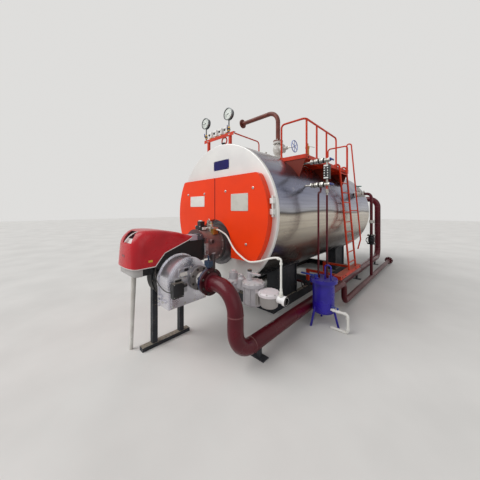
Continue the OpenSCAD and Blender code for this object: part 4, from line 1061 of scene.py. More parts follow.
@dataclass
class Studio:
    """The plain pale floor, the soft lights and the camera of the photograph, in metres."""

    eye: Point = (2.4932, -2.7856, 1.6)
    heading: float = 42.93
    lens: float = 16.215
    sensor: float = 36.0
    shift: Pair = (-0.0041, -0.0635)
    sees_to: float = 200.0
    floor_half: float = 40.0
    lamps: tuple[Lamp, ...] = (Lamp("key", 2.1, 0.85, (0.5, 0.78, -0.9)),
                               Lamp("fill", 0.38, 0.9, (-0.8, 0.35, -0.5)))
    surround: tuple[str, float] = ("#f2f3f6", 0.42)
    backdrop: tuple[str, float] = ("#f3f2f0", 0.82)

    def camera(self) -> None:
        """Sets the camera where the photograph was taken."""
        data = bpy.data.cameras.new("photo_camera")
        data.sensor_width, data.lens = self.sensor, self.lens
        data.shift_x, data.shift_y = self.shift
        data.clip_end = self.sees_to
        made = bpy.data.objects.new("photo_camera", data)
        made.location = self.eye
        made.rotation_euler = (math.pi / 2, 0, math.radians(self.heading))
        bpy.context.scene.collection.objects.link(made)
        bpy.context.scene.camera = made

    def floor(self) -> None:
        """A flat floor at the ground: four corners of a wide square."""
        h = self.floor_half
        mesh = bpy.data.meshes.new("floor")
        mesh.from_pydata([(-h, -h, 0), (h, -h, 0), (h, h, 0), (-h, h, 0)], [], [(0, 1, 2, 3)])
        mesh.materials.append(PALE_FLOOR.material())
        made = bpy.data.objects.new("floor", mesh)
        bpy.context.scene.collection.objects.link(made)

    def lights(self) -> None:
        """A soft key from the front left, and a weak fill from the right."""
        for lamp in self.lamps:
            data = bpy.data.lights.new(lamp.name, "SUN")
            data.energy, data.angle = lamp.power, lamp.spread
            made = bpy.data.objects.new(lamp.name, data)
            x, y, z = lamp.aim
            made.rotation_euler = (math.acos(-z / math.hypot(x, y, z)), 0, math.atan2(y, x) - math.pi / 2)
            bpy.context.scene.collection.objects.link(made)

    def world(self) -> None:
        """A pale surround: a weak light on the object, and a brighter backdrop for eye and gloss."""
        world = bpy.data.worlds.new("surround")
        world.use_nodes = True
        tree = world.node_tree
        tree.nodes.clear()
        seen = add(tree, "LightPath").node.outputs
        light, back = (add(tree, "Background", {"Color": linear(code), "Strength": strength})
                       for code, strength in (self.surround, self.backdrop))
        shown = add(tree, "Math", {0: seen["Is Camera Ray"], 1: seen["Is Glossy Ray"]}, operation="MAXIMUM")
        shown = add(tree, "Math", {0: shown, 1: seen["Is Transmission Ray"]}, operation="MAXIMUM")
        both = add(tree, "MixShader", {0: shown, 1: light, 2: back})
        add(tree, "OutputWorld", {0: both})
        bpy.context.scene.world = world
        bpy.context.scene.view_settings.view_transform = "Standard"


# Sub-assemblies


@dataclass
class Conduit:
    """The white conduit from the pilot valve, with the elbow and the pipe down to the gas inlet.

    The pipe stands at pipe_x, pipe_y and ends on the inlet's top at inlet_top. The hose's route is
    the one that the CAD source holds.
    """

    size: float = 22.0
    pipe_x: float = 1261.0
    pipe_y: float = -300.0
    inlet_top: float = 698.3
    socket_z: float = 716.0
    hose: tuple[Point, ...] = (
        (165.3, -255, 1322), (205, -235, 1315), (255, -209, 1284), (317, -183, 1235), (441, -207, 1120),
        (535, -230, 1060), (637, -253, 1021), (743, -277, 990), (845, -300, 985), (996, -300, 1022),
        (1101, -300, 1064), (1190, -300, 1088), (1238, -300, 1086))

    def fittings(self) -> Form:
        """The rigid elbow and pipe, with a sleeve at each end of the elbow and two on the foot.

        Returns:
            The form.
        """
        x, y, z = self.pipe_x, self.pipe_y, self.hose[-1][2]
        bend = ((x - 34, y, z), (x - 18, y, z), (x - 6, y, z - 5), (x, y, z - 17), (x, y, z - 40),
                (x, y, z - 200), (x, y, self.inlet_top))
        collar = [(13, 0), (16, 2), (16, 22), (13, 24)]
        socket = [(12, 0), (17, 3), (17, 30), (14, 34), (14, 62), (12, 64)]
        flange = [(12, 0), (24, 1), (24, 12), (15, 15)]
        return joined(tube(curve_through(bend, 6), self.size),
                      turned(collar, (x - 46, y, z), RIGHT), turned(collar, (x, y, z - 62), UP),
                      turned(socket, (x, y, self.socket_z), UP),
                      turned(flange, (x, y, self.inlet_top + 0.1), UP))

    def build(self) -> None:
        piece("conduit_pipe_and_fittings", "white_plastic", self.fittings(), WHITE_PLASTIC)
        path = curve_through(self.hose, 3)
        hose = piece("gas_conduit_hose", "white_plastic", tube(path, self.size, 18), WHITE_PLASTIC)
        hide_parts("gas_conduit")


@dataclass
class DriveCable:
    """The thin black cable that hangs from the black drum to the damper drive."""

    size: float = 9.0
    run: tuple[Point, ...] = (
        (203, -1102, 985), (215, -1138, 972), (245, -1164, 943), (287, -1180, 905), (337, -1186, 863),
        (389, -1182, 824), (437, -1168, 792), (476, -1144, 770), (500, -1109, 762))

    def build(self) -> None:
        path = curve_through(self.run, 3)
        made = piece("damper_drive_cable", "burner_black", tube(path, self.size, 12), RUBBER)


@dataclass
class BurnerCover:
    """The moulded crimson cover: the feature that takes the most skill.

    Its side outline runs from the lower front edge over the brow and down the long roof to the
    tip. Across the width the surface keeps that outline, and near each side it moves in by
    r * (1 - cos a) while x moves out by r * sin a, where r is the shoulder's radius, less where
    the cover is thin. round_at gives r at shares of the way along the outline.
    """

    middle_x: float = -20.0
    half_w: float = 242.5
    front: tuple = ((-1400.0, -120.0), (-1391.0, 20.0))
    brow: tuple[float, float, float] = (-1216.0, 96.0, 170.0)
    roof: tuple[float, float, float] = (-1215.0, -1171.0, 1437.0)
    tip: Pair = (-684.0, 165.0)
    edge: tuple = ((-1400, -120), (-1150, -120), (-1040, 12), (-740, 122), (-690, 150), (-684, 157))
    round_at: tuple = ((0.0, 0.2, 0.34, 0.55), (52.0, 96.0, 125.0, 70.0))
    dome_end: float = -1150.0
    bow: float = 38.0
    bow_end: float = -1100.0
    bow_fade: float = 290.0
    foot_swell: float = 15.0
    stations: int = 190
    round_steps: int = 10
    flat_steps: int = 96
    wall_steps: int = 6
    slot_at: Pair = (-1345.0, 205.0)
    slot_half: float = 82.0
    slot_depth: float = 25.0
    slot_slope: float = 8.0
    slot_left: Pair = (-62.0, -98.0)
    slot_ridge: Pair = (-16.0, 66.0)
    slot_right: Pair = (128.0, 84.0)
    trim_size: float = 9.0
    tray_z: float = 893.0
    tray_front: float = -1332.0

    def outline(self) -> np.ndarray:
        """The side outline: two arcs between the front edge and the tip, evenly spaced and smoothed.

        Returns:
            Points (y, height over the burner's axis).
        """
        line = np.vstack([self.front, arc(self.brow[:2], self.brow[2], 172, 90.5, 60),
                          arc(self.roof[:2], self.roof[2], 90, 68.75, 80), self.tip])
        way = np.concatenate([[0], np.cumsum(np.linalg.norm(np.diff(line, axis=0), axis=1))])
        even = np.linspace(0, way[-1], self.stations)
        soft = np.stack([np.interp(even, way, line[:, k]) for k in (0, 1)], -1)
        for _ in range(6):
            soft[1:-1] = (soft[:-2] + 2 * soft[1:-1] + soft[2:]) / 4
        return soft

    def bowed(self, points: np.ndarray) -> np.ndarray:
        """Bulges the front: y grows by bow * (share of the half width) ^ 2.3, fading by bow_end.

        Args:
            points: points in drawn mm.

        Returns:
            The points moved.
        """
        share = np.abs(points[..., 0] - self.middle_x) / self.half_w
        fade = np.clip((self.bow_end - points[..., 1]) / self.bow_fade, 0, 1)
        moved = points.copy()
        moved[..., 1] += self.bow * share**2.3 * fade * fade * (3 - 2 * fade)
        return moved

    def lower(self, y: np.ndarray) -> np.ndarray:
        """The height of the lower edge over the burner's axis at each y."""
        return np.interp(y, *np.transpose(self.edge))

    def roof_grid(self, line: np.ndarray) -> tuple[np.ndarray, np.ndarray]:
        """The surface over the outline from shoulder to shoulder, with the intake pressed in.

        Args:
            line: the side outline.

        Returns:
            Points as an array (stations, columns, 3), and the finish that each shows.
        """
        run = unit(np.gradient(line, axis=0))
        normal = np.stack([-run[:, 1], run[:, 0]], -1)[:, None]
        thin = np.maximum(0.8 * (line[:, 1] - self.lower(line[:, 0])), 4)
        r = np.interp(np.linspace(0, 1, self.stations), *self.round_at)
        r = np.where(line[:, 0] < self.dome_end, r, np.minimum(r, thin))[:, None]
        a = np.radians(np.linspace(0, 90, self.round_steps))
        level = np.zeros(self.flat_steps)
        side = np.ones(self.round_steps)
        drop = np.concatenate([(1 - np.cos(a))[::-1], level, 1 - np.cos(a)])
        out = np.concatenate([-np.sin(a)[::-1], level, np.sin(a)])
        flat = np.concatenate([-side, np.linspace(-1, 1, self.flat_steps + 2)[1:-1], side])
        x = flat * (self.half_w - r) + out * r + self.middle_x
        sink, kind = self.pressed(line, x)
        top = line[:, None] - normal * (r * drop)[..., None] - normal * sink[..., None]
        return np.stack([x, top[..., 0], top[..., 1]], -1), kind

    def shell(self) -> Form:
        """The cover's closed form: the roof, and straight walls from its shoulders to the lower edge.

        Returns:
            The form, with painted shade on the intake's floors and a painted highlight on its walls, ridge
            and sill.
        """
        grid, kind = self.roof_grid(self.outline())
        swell = self.foot_swell * np.sin(np.pi * np.linspace(0, 1, self.stations))
        foot_y = np.maximum.accumulate(grid[:, 0, 1]) + swell
        share = np.linspace(1, 0, self.wall_steps + 1)[:-1, None]
        walls = []
        for base in (grid[:, 0], grid[:, -1]):
            foot = np.stack([base[:, 0], foot_y, self.lower(foot_y)], -1)
            walls.append(base[:, None] + (foot - base)[:, None] * share)
        rows = np.concatenate([walls[0], grid, walls[1][:, ::-1]], 1) + [0, 0, BURNER_Z]
        form = skin(self.bowed(rows))
        tint = np.zeros((self.stations - 1, rows.shape[1]), int)
        first = self.wall_steps
        tint[:, first : first - 1 + kind.shape[1]] = kind[:-1, :-1]
        form.tint[0] = tint.ravel()
        return form

    def pressed(self, line: np.ndarray, x: np.ndarray) -> tuple[np.ndarray, np.ndarray]:
        """The air intake: how deep each point is pressed in, and the finish it shows.

        The intake lies between a left and a right edge that slant with the way along the outline,
        and a slanting ridge parts it in two. Each point sinks by a smooth step of its distance to
        the nearest of these edges.

        Args:
            line: the side outline.
            x: each point's place across.

        Returns:
            The depths, and 1 for the floors' painted shade, 2 for the painted highlight on the walls, the
            ridge and the sill.
        """
        way = np.concatenate([[0], np.cumsum(np.linalg.norm(np.diff(line, axis=0), axis=1))])
        here = way[np.argmin(np.linalg.norm(line - self.slot_at, axis=1))]
        v = ((way - here) / self.slot_half)[:, None]
        edges = (self.slot_left, self.slot_ridge, self.slot_right)
        left, ridge, right = (np.interp(v, (-1, 1), ends) for ends in edges)
        end = (1 - np.abs(v)) * self.slot_half
        near = np.minimum(np.minimum(x - left, right - x), end)
        deep = np.minimum(near, np.abs(x - ridge) - self.slot_slope)
        step = np.clip(deep / self.slot_slope, 0, 1)
        # The floors take painted shade, and the sill and the walls and ridge round the floors a painted
        # highlight.
        floor, sill = deep > 1.5, (x > ridge) & (v < -0.25)
        kind = np.where(floor, np.where(sill, 2, 1), np.where(near > 2, 2, 0))
        return self.slot_depth * step * step * (3 - 2 * step), kind

    def trim_path(self) -> np.ndarray:
        """The way of the trim: along both sides and round the front corners, at the lower edge.

        Returns:
            Points in drawn mm, from the right tip round the front to the left tip.
        """
        half, r = self.half_w - 1, self.round_at[1][0] + 3
        turn_y = self.front[0][0] + 6 + r
        side = np.stack([np.full(60, half), np.linspace(self.tip[0] - 2, turn_y, 60)], -1)
        corner = arc((half - r, turn_y), r, 0, -90, 16)[1:]
        right = np.vstack([side, corner])
        plan = np.vstack([right, right[::-1] * [-1, 1]])
        height = self.lower(plan[:, 1]) + BURNER_Z - self.trim_size / 2
        path = np.stack([plan[:, 0] + self.middle_x, plan[:, 1], height], -1)
        flat = np.linspace(half - r, r - half, 40)[1:-1] + self.middle_x
        lowest = np.full_like(flat, path[:, 2].min())
        front = np.stack([flat, np.full_like(flat, path[:, 1].min()), lowest], -1)
        return self.bowed(np.vstack([path[: len(right)], front, path[len(right) :]]))

    def trim(self) -> Form:
        """The pale strip under the edge: a small square section carried along the trim's way.

        At each station the section's first side looks away from the cover and its second looks up.

        Returns:
            The form.
        """
        path = self.trim_path()
        run = unit(np.gradient(path, axis=0))
        out = unit(np.stack([-run[:, 1], run[:, 0], np.zeros(len(run))], -1))
        out *= np.sign((out[:, :2] * (path[:, :2] - [self.middle_x, -1000])).sum(1))[:, None]
        up = np.cross(run, out)
        up *= np.sign(up[:, 2])[:, None]
        section = round_rectangle(self.trim_size / 2, self.trim_size / 2, 2.5, 3)
        flat = section[None, :, :1] * out[:, None] + section[None, :, 1:] * up[:, None]
        return skin(path[:, None] + flat)

    def build(self) -> None:
        """Makes the cover, its tray with the trim, and the two blank plates."""
        # The cover's intake: painted shade on its floors and a painted highlight on its walls, ridge and
        # sill.
        cover = piece("burner_cover_moulding", "burner_red", self.shell(), CRIMSON, SLOT_SHADE, TRIM_AND_HIGHLIGHT)
        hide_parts("burner_cover")
        x, z = self.middle_x, self.tray_z
        outline = round_rectangle(211, 45, (6, 6, 40, 40), 10)
        trough = plate(outline, (x, self.tray_front, z), UP, 92, 12)
        trough.points = self.bowed(trough.points)
        pan = plate(round_rectangle(206, 68, 8), (x, self.tray_front + 114, z + 3), UP, 88, 6)
        tray = piece("burner_tray_trough_and_trim", "burner_grey",
                     joined(self.trim(), trough.painted(1), pan.painted(2)), TRIM_AND_HIGHLIGHT, TROUGH, PAN_BLACK_AND_SHADE)
        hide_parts("burner_tray")
        label = plate(round_rectangle(22, 11, 2), (x + self.half_w - 0.6, -1202, BURNER_Z - 58),
                      RIGHT, 1.6, 0.4)
        front = plate(round_rectangle(38, 22, 4), (-12, -1385, BURNER_Z - 12), FRONT, 8, 1)
        piece("burner_cover_blank_plates", "burner_red", joined(label, front.painted(1)),
              YELLOW_PLATE, RUSSET_PLATE)


@dataclass
class FanHousing:
    """The cast fan housing, the black half-drum behind it, the motor and the damper drive.

    y and z are the drum's axis and radius is its own. Screws and plates stand on the rim at rim_x,
    on the casting's face at face_x and on its pad at pad_x, and the lugs end at lug_y.
    """

    y: float = -860.0
    z: float = 820.0
    radius: float = 250.0
    rim_x: float = 216.0
    face_x: float = 440.0
    pad_x: float = 448.0
    lug_y: float = -1122.0
    lugs: tuple = ((226, 600), (226, 650), (312, 612))
    clip_angles: tuple[int, ...] = (100, 128, 156, 184, 212)
    ridge_x: Pair = (112.0, 150.0)
    lid_y: Pair = (-1100.0, -1000.0)
    lid_z: Pair = (712.0, 842.0)
    fins: int = 6

    def build(self) -> None:
        """Dresses the carried nodes and adds the small pieces on them."""
        dress(FAN_CASTING, "fan_drum")
        dress(PAN_BLACK_AND_SHADE, "burner_body")
        dress(BLACK_STEEL, "fan_motor")
        dress(DRIVE_BLACK, "air_damper_drive")
        dress(LEG_WHITE, "burner_leg")
        self.casting()
        self.half_drum()
        self.drive()

    def casting(self) -> None:
        """The rim's screws, the bolts of the foot and the pad, the lugs, the window, plate and fins."""
        y, z = self.y, self.z
        rim = circle_of((self.rim_x, y, z), RIGHT, self.radius + 7, 16)
        foot = lattice(self.face_x, (y - 205, y - 60, y + 60, y + 205), z - 234)
        pad = lattice(self.pad_x, (y - 130, y + 10), (z + 68, z + 138))
        bolts = joined(repeated(round_screw(5.5), rim[rim[:, 2] > z - 120], RIGHT),
                       repeated(hex_bolt(11), foot, RIGHT), repeated(hex_bolt(9), pad, RIGHT))
        piece("fan_housing_screws", "fitting_steel", bolts, STEEL)
        lug_y = self.lug_y
        blocks = [box((x, lug_y, h), (x + 52, lug_y + 24, h + 26), 3) for x, h in self.lugs]
        ends = np.array([(x + 26, lug_y, h + 13) for x, h in self.lugs])
        nuts = repeated(stud(11), ends, FRONT)
        piece("fan_housing_lugs", "cast_aluminium", joined(*blocks, nuts.painted(1)), FAN_CASTING, STEEL)
        ellipse = arc((0, 0), 1, 0, 351, 40) * [30, 15]
        window = plate(ellipse, (self.pad_x - 0.4, y - 50, z + 126), RIGHT, 3, 1)
        piece("fan_housing_window", "burner_black", window, BLACK_PLASTIC)
        note = plate(round_rectangle(46, 21, 2), (self.pad_x - 0.2, y - 84, z + 84), RIGHT, 1.2, 0.4)
        piece("fan_housing_blank_plate", "cast_aluminium", note, BARE_PLATE)
        fins = [box((481, -984 + 11 * i, 726), (488, -978 + 11 * i, 864), 1.5) for i in range(self.fins)]
        piece("damper_drive_fins", "cast_aluminium", joined(*fins), FAN_CASTING)

    def half_drum(self) -> None:
        """The clips round the half-drum, and its two raised ridges."""
        r = self.radius + 12
        turns = [math.radians(turn) for turn in self.clip_angles]
        spots = [(self.y + r * math.cos(t), self.z + r * math.sin(t)) for t in turns]
        clips = [box((92, y - 7, z - 7), (128, y + 7, z + 7), 2) for y, z in spots]
        piece("half_drum_clips", "burner_black", joined(*clips), DARK_STEEL)
        inner, outer = self.radius + 6, self.radius + 11.5
        section = [(outer, 0), (outer, 7), (inner, 7), (inner, 0)]
        ridges = [turned(section, (x, self.y, self.z), RIGHT, 96, True) for x in self.ridge_x]
        piece("half_drum_ridges", "burner_black", joined(*ridges), BLACK_STEEL)

    def drive(self) -> None:
        """The drive's lid with its screws."""
        (y0, y1), (z0, z1) = self.lid_y, self.lid_z
        screws = repeated(round_screw(5), lattice(530, self.lid_y, self.lid_z), RIGHT)
        lid = joined(box((478, y0 - 6, z0 - 6), (532, y1 + 6, z0 + 4), 2),
                     box((500, y0 - 4, z1 - 4), (531, y1 + 4, z1 + 9), 3), screws.painted(1))
        piece("damper_drive_lid", "burner_black", lid, BLACK_PLASTIC, STEEL)


@dataclass
class BurnerHead:
    """The cast head with its flanges, its sight port and the ignition gear on top of it.

    The flanges stand at front_y and rear_y, and the port at port. The pressure lines' points are
    listed.
    """

    front_y: float = -465.0
    rear_y: float = -175.0
    port: Point = (226.0, -361.0, 1168.0)
    hinge: tuple[Point, Point] = ((205, -492, 1004), (222, -429, 1155))
    knuckle: float = 37.0
    plug_x: tuple[float, ...] = (-54, -32, -10)
    pressure_lines: tuple = (
        ((46, -372, 1335), (88, -372, 1342), (122, -335, 1356), (134, -285, 1352)),
        ((-20, -240, 1430), (-20, -240, 1448), (-12, -243, 1462), (8, -250, 1462), (30, -252, 1442),
         (34, -254, 1418)))
    control: tuple[Point, Point] = ((40, -693, 1207), (190, -578, 1278))

    def build(self) -> None:
        """Dresses the nodes and adds the small pieces on them."""
        dress(HEAD_CASTING, "burner_head")
        dress(RING_DARK, "burner_ring")
        dress(PILOT_GEAR, "ignition_fittings")
        self.casting()
        self.ignition()
        self.control_box()

    def casting(self) -> None:
        """The bolts of both flanges, the sight port and the hinge strip with its knuckles."""
        bolts = joined(ring_of(hex_bolt(14), (0, self.rear_y, BURNER_Z), FRONT, 228, 12),
                       ring_of(stud(12), (0, self.front_y, BURNER_Z), BACK, 212, 8))
        piece("head_flange_bolts", "fitting_steel", bolts, STEEL)
        port = joined(turned([(33, 0), (33, 6), (27, 8), (25, 2)], self.port, RIGHT),
                      turned([(25, 0), (25, 3), (12, 5)], self.port, RIGHT).painted(1))
        piece("head_sight_port", "burner_casting", port, HEAD_CASTING, BLACK_PLASTIC)
        (x, y, z0), (_, _, z1) = self.hinge
        knuckles = [turned([(13, 0), (13, 27), (11, 29)], (x + 15, y + 12, z), UP, 20)
                    for z in np.arange(z0 + 2, z1 - 5, self.knuckle)]
        piece("head_hinge_strip", "fitting_steel", joined(box(*self.hinge, 4), *knuckles), HINGE_STEEL)

    def ignition(self) -> None:
        """The ignition box's caps and screws, the pilot's pressure lines and its brass nuts."""
        caps = [box((x, -392, 1428), (x + 17, -368, 1446), 2) for x in self.plug_x]
        caps.append(box((42, -402, 1318), (58, -338, 1352), 2))
        piece("ignition_white_plugs", "white_plastic", joined(*caps), WHITE_PLASTIC)
        lines = [tube(curve_through(points, 8), 8, 12) for points in self.pressure_lines]
        piece("pilot_pressure_lines", "fitting_steel", joined(*lines), STEEL)
        nuts = joined(turned([(24, 0), (24, 20)], (60, -255, 1388), UP, 6),
                      turned([(16, 0), (16, 14)], (-20, -240, 1418), UP, 6),
                      turned([(27, 0), (27, 16)], (96, -255, 1333), RIGHT, 6),
                      turned([(15, 0), (15, 18), (12, 20)], (160, -255, 1322), RIGHT, 6))
        piece("pilot_brass_nuts", "brass_fittings", nuts, BRASS)
        screws = repeated(hex_bolt(9), lattice((-70, 30), -425, (1303, 1363)), FRONT)
        piece("ignition_box_screws", "fitting_steel", screws, STEEL)

    def control_box(self) -> None:
        """The control box with its dark rear half, their lid and the screws on the right side."""
        (_, y0, z0), (x1, y1, z1) = self.control
        rear = joined(box((50, y1 + 3, z0), (x1 + 2, y1 + 82, z1 - 6), 5),
                      box((70, -560, 1272), (150, -510, 1284), 3))
        spots = np.vstack([lattice(x1, (y0 + 9, y1 - 9), (z0 + 9, z1 - 10)), [(x1 + 2, -535, 1262)]])
        screws = repeated(round_screw(5), spots, RIGHT)
        control = joined(box(*self.control, 6), rear.painted(1), screws.painted(2))
        piece("burner_control_box", "burner_grey", control, CONTROL_GREY, CONTROL_DARK, STEEL)


@dataclass(frozen=True)
class BarePlate:
    """A plate without any print: its piece, its slot and finish, half its size, and its middle."""

    name: str
    slot: str
    finish: Finish
    half: Pair
    at: Point


@dataclass
class Shell:
    """The clad shell with its end plates, its doors, their bolts and plates, and its base."""

    door_face: float = -135.0
    bolts: tuple = ((-697, 1848), (-251, 1843), (234, 1858), (743, 1874), (624, 1147), (-624, 1147))
    plates: tuple[BarePlate, ...] = (
        BarePlate("door_plate_left", "end_plate", BARE_PLATE, (190, 84), (-440, -135, 1728)),
        BarePlate("door_plate_right", "end_plate", DATA_PLATE, (157, 116), (503, -135, 1697)),
        BarePlate("front_plate_blank", "burner_grey", NAVY_PLATE, (170, 72), (36, -40, 2270)))
    screw_inset: float = 14.0
    seam: tuple[Point, Point] = ((-2.3, -126, 1456), (2.3, -44, 2062))

    def build(self) -> None:
        """Dresses the carried nodes and adds the doors' fasteners, the gasket and the bare plates."""
        dress(CLADDING, "shell_cladding")
        dress(END_PLATE, "front_plate", "rear_plate", "door_hinges")
        dress(ORANGE, "front_door_left", "front_door_right")
        dress(BASE, "base_skid", "front_saddle", "rear_saddle", "burner_stand")
        places = np.array([(x, self.door_face, z) for x, z in self.bolts])
        pad = turned([(18, 0), (18, 3), (15, 5)], (0, 0, 0), UP, 20)
        bolts = joined(repeated(pad, places, FRONT),
                       repeated(stud(12), places - [0, 4, 0], FRONT))
        piece("door_bolts", "fitting_steel", bolts, STEEL)
        for bare in self.plates:
            self.bare_plate(bare)
        piece("door_seam_gasket", "burner_black", box(*self.seam, 0.5), RUBBER)

    def bare_plate(self, bare: BarePlate) -> None:
        """Makes one plate, with a screw in each corner.

        Args:
            bare: the plate.
        """
        (u, v), (x, y, z), gap = bare.half, bare.at, self.screw_inset
        face = plate(round_rectangle(u, v, 10), (x, y + 0.5, z), FRONT, 4, 1)
        spots = lattice((x - u + gap, x + u - gap), y - 3.5, (z - v + gap, z + v - gap))
        screws = repeated(round_screw(6), spots, FRONT)
        piece(bare.name, bare.slot, joined(face, screws.painted(1)), bare.finish, STEEL)


@dataclass
class GasTrain:
    """The shut-off valve, the regulator and the filter, all on one line along x.

    pilot_x, valve_x, drum_x, bowl_x and inlet_x are the middles of the pilot's foot, the shut-off
    valve, the regulator's drum, the filter's bowl and the white inlet's outer face.
    """

    y: float = -300.0
    z: float = 660.0
    pilot_x: float = 150.0
    valve_x: float = 560.0
    drum_x: float = 885.0
    bowl_x: float = 1110.0
    inlet_x: float = 1324.0
    lid: float = 125.0
    bowl: float = 112.0
    rib_angles: tuple[int, ...] = (20, 65, 110, 200, 245, 290, 335)

    def build(self) -> None:
        """Dresses the two nodes and adds the small pieces on them."""
        dress(VALVE_GREY, "gas_regulator", "gas_filter")
        self.fasteners()
        self.bodies()
        self.inlet()

    def fasteners(self) -> None:
        """The screws of the lids, the bolts of the flanges and those of the valve's front."""
        y, z = self.y, self.z
        front = lattice((self.valve_x - 48, self.valve_x + 48), y - 110, (z - 46, z + 46))
        screws = joined(ring_of(hex_bolt(9), (self.drum_x, y, z + 107), UP, self.lid - 5, 12),
                        ring_of(hex_bolt(9), (self.bowl_x, y, z + 45), UP, self.bowl - 4, 8),
                        ring_of(hex_bolt(11), (self.pilot_x, y, z + 102), UP, 52, 4),
                        ring_of(hex_bolt(11), (self.drum_x + 88, y, z), LEFT, 49, 4),
                        repeated(hex_bolt(10), front, FRONT))
        piece("gas_train_bolts", "fitting_steel", screws, STEEL)

    def bodies(self) -> None:
        """The rings and ribs on the drum and the bowl, the caps on top and the cock's lever."""
        y, z, drum, bowl = self.y, self.z, self.drum_x, self.bowl_x
        turns = np.radians(self.rib_angles)
        spots = [(drum + 118 * math.cos(t), y + 118 * math.sin(t)) for t in turns]
        ribs = [box((x - 7, v - 7, z - 128), (x + 7, v + 7, z + 62), 3) for x, v in spots]
        upper = [(124, 0), (132, 2), (132, 6), (124, 8)]
        lower = [(112, 0), (121.5, 2), (121.5, 7), (112, 9)]
        rings = joined(turned(upper, (drum, y, z + 66), UP, 64, True),
                       turned(lower, (bowl, y, z + 12), UP, 64, True))
        piece("gas_train_ribs", "valve_grey", joined(rings, *ribs), VALVE_GREY)
        x = self.valve_x
        cap = turned([(40, 0), (40, 6), (34, 10), (34, 22), (28, 26)], (x, y, z + 155), UP)
        black = joined(turned([(28, 0), (28, 16), (20, 22)], (drum - 55, y, z + 218), UP, 24),
                       box((x - 40, y - 128, z - 36), (x + 40, y - 110, z + 36), 4))
        piece("gas_valve_caps", "valve_grey", joined(cap, black.painted(1)), VALVE_GREY, BLACK_PLASTIC)
        grip = joined(turned([(22, 0), (22, 26), (16, 30)], (700, y, z + 122), UP, 20),
                      box((640, y - 11, z + 146), (712, y + 11, z + 156), 3))
        piece("gas_cock_lever", "valve_grey", grip, VALVE_GREY)

    def inlet(self) -> None:
        """The open inlet's lip, with painted shade deep in its bore: a black liner and floor."""
        x, y, z = self.inlet_x, self.y, self.z
        section = [(33.5, 0), (48, 0), (48, 3), (45, 6), (35, 6), (33.5, 4)]
        lip = turned(section, (x, y, z), RIGHT, 40, True)
        # Painted shade: the liner and the floor make the bore black, where it would only be dark.
        shaded_bore = turned([(35, 0), (35, 38.5), (32.6, 38.5), (32.6, 0)], (x - 33, y, z), RIGHT, 40, True)
        floor = turned([(34, 0), (34, 1)], (x - 34, y, z), RIGHT)
        piece("gas_inlet_lip", "valve_grey", joined(lip, joined(shaded_bore, floor).painted(1)),
              DARK_STEEL, PAN_BLACK_AND_SHADE)


@dataclass
class Recirculation:
    """The maroon duct, the white spool and the blue butterfly valve.

    The inlet's axis is at y, z, where spool_x and elbow_x are the flanges' faces and valve_x is the
    valve's. The duct runs back at duct_x, duct_z to end_y and rises there.
    """

    y: float = -740.0
    z: float = 820.0
    spool_x: float = 480.0
    valve_x: float = 590.0
    elbow_x: float = 672.0
    duct_x: float = 1030.0
    duct_z: float = 190.0
    end_y: float = 5420.0
    pipe: float = 159.0
    elbow: float = 240.0
    bolts: int = 8

    def build(self) -> None:
        """Dresses the nodes and adds the flange bolts, the valve's gear and the welds."""
        dress(MAROON, "recirculation_duct")
        dress(SPOOL, "duct_spool")
        dress(VALVE_BLUE, "duct_valve")
        self.flanges()
        self.welds()

    def flanges(self) -> None:
        """The bolts of the three flanges, the valve's tie rods and spindle, and the weld's collar."""
        y, z, n = self.y, self.z, self.bolts
        bolts = joined(ring_of(hex_bolt(13), (self.spool_x, y, z), RIGHT, 112, n),
                       ring_of(hex_bolt(14), (self.valve_x, y, z), LEFT, 120, n),
                       ring_of(stud(14), (self.elbow_x, y, z), RIGHT, 122, n))
        piece("duct_flange_bolts", "fitting_steel", bolts, DARK_STEEL)
        ends = circle_of((self.valve_x, y, z), RIGHT, 122, n)
        rods = [turned([(7, 0), (7, 84)], tuple(end), RIGHT, 12) for end in ends]
        piece("duct_valve_tie_rods", "fitting_steel", joined(*rods), DARK_STEEL)
        section = [(79, 0), (100, 0), (100, 7), (92, 11), (79, 14)]
        collar = turned(section, (self.elbow_x, y, z), RIGHT, 48, True)
        piece("duct_collar", "maroon_paint", collar, MAROON)
        spindle = joined(turned([(11, 0), (11, 40), (8, 42)], (618, y, z + 238), UP, 16),
                         box((596, y - 32, z + 210), (640, y - 27, z + 216), 1))
        piece("duct_valve_spindle", "valve_blue", spindle, VALVE_BLUE)

    def welds(self) -> None:
        """The welds at both ends of each elbow, and where the long run's lengths meet."""
        x, z, y1 = self.duct_x, self.duct_z, self.end_y
        along = [(x, y, z) for y in (self.y + self.elbow, 1450, 3350, y1 - self.elbow)]
        standing = [(x, self.y, 580), (x, y1, z + self.elbow), (x, y1, 1180), (x, y1, 1680)]
        welds = [weld_bead(at, BACK, self.pipe) for at in along]
        welds += [weld_bead(at, UP, self.pipe) for at in standing]
        welds.append(weld_bead((x - self.elbow, y1, 1920), RIGHT, self.pipe))
        piece("duct_welds", "maroon_paint", joined(*welds), WELD_MAROON)


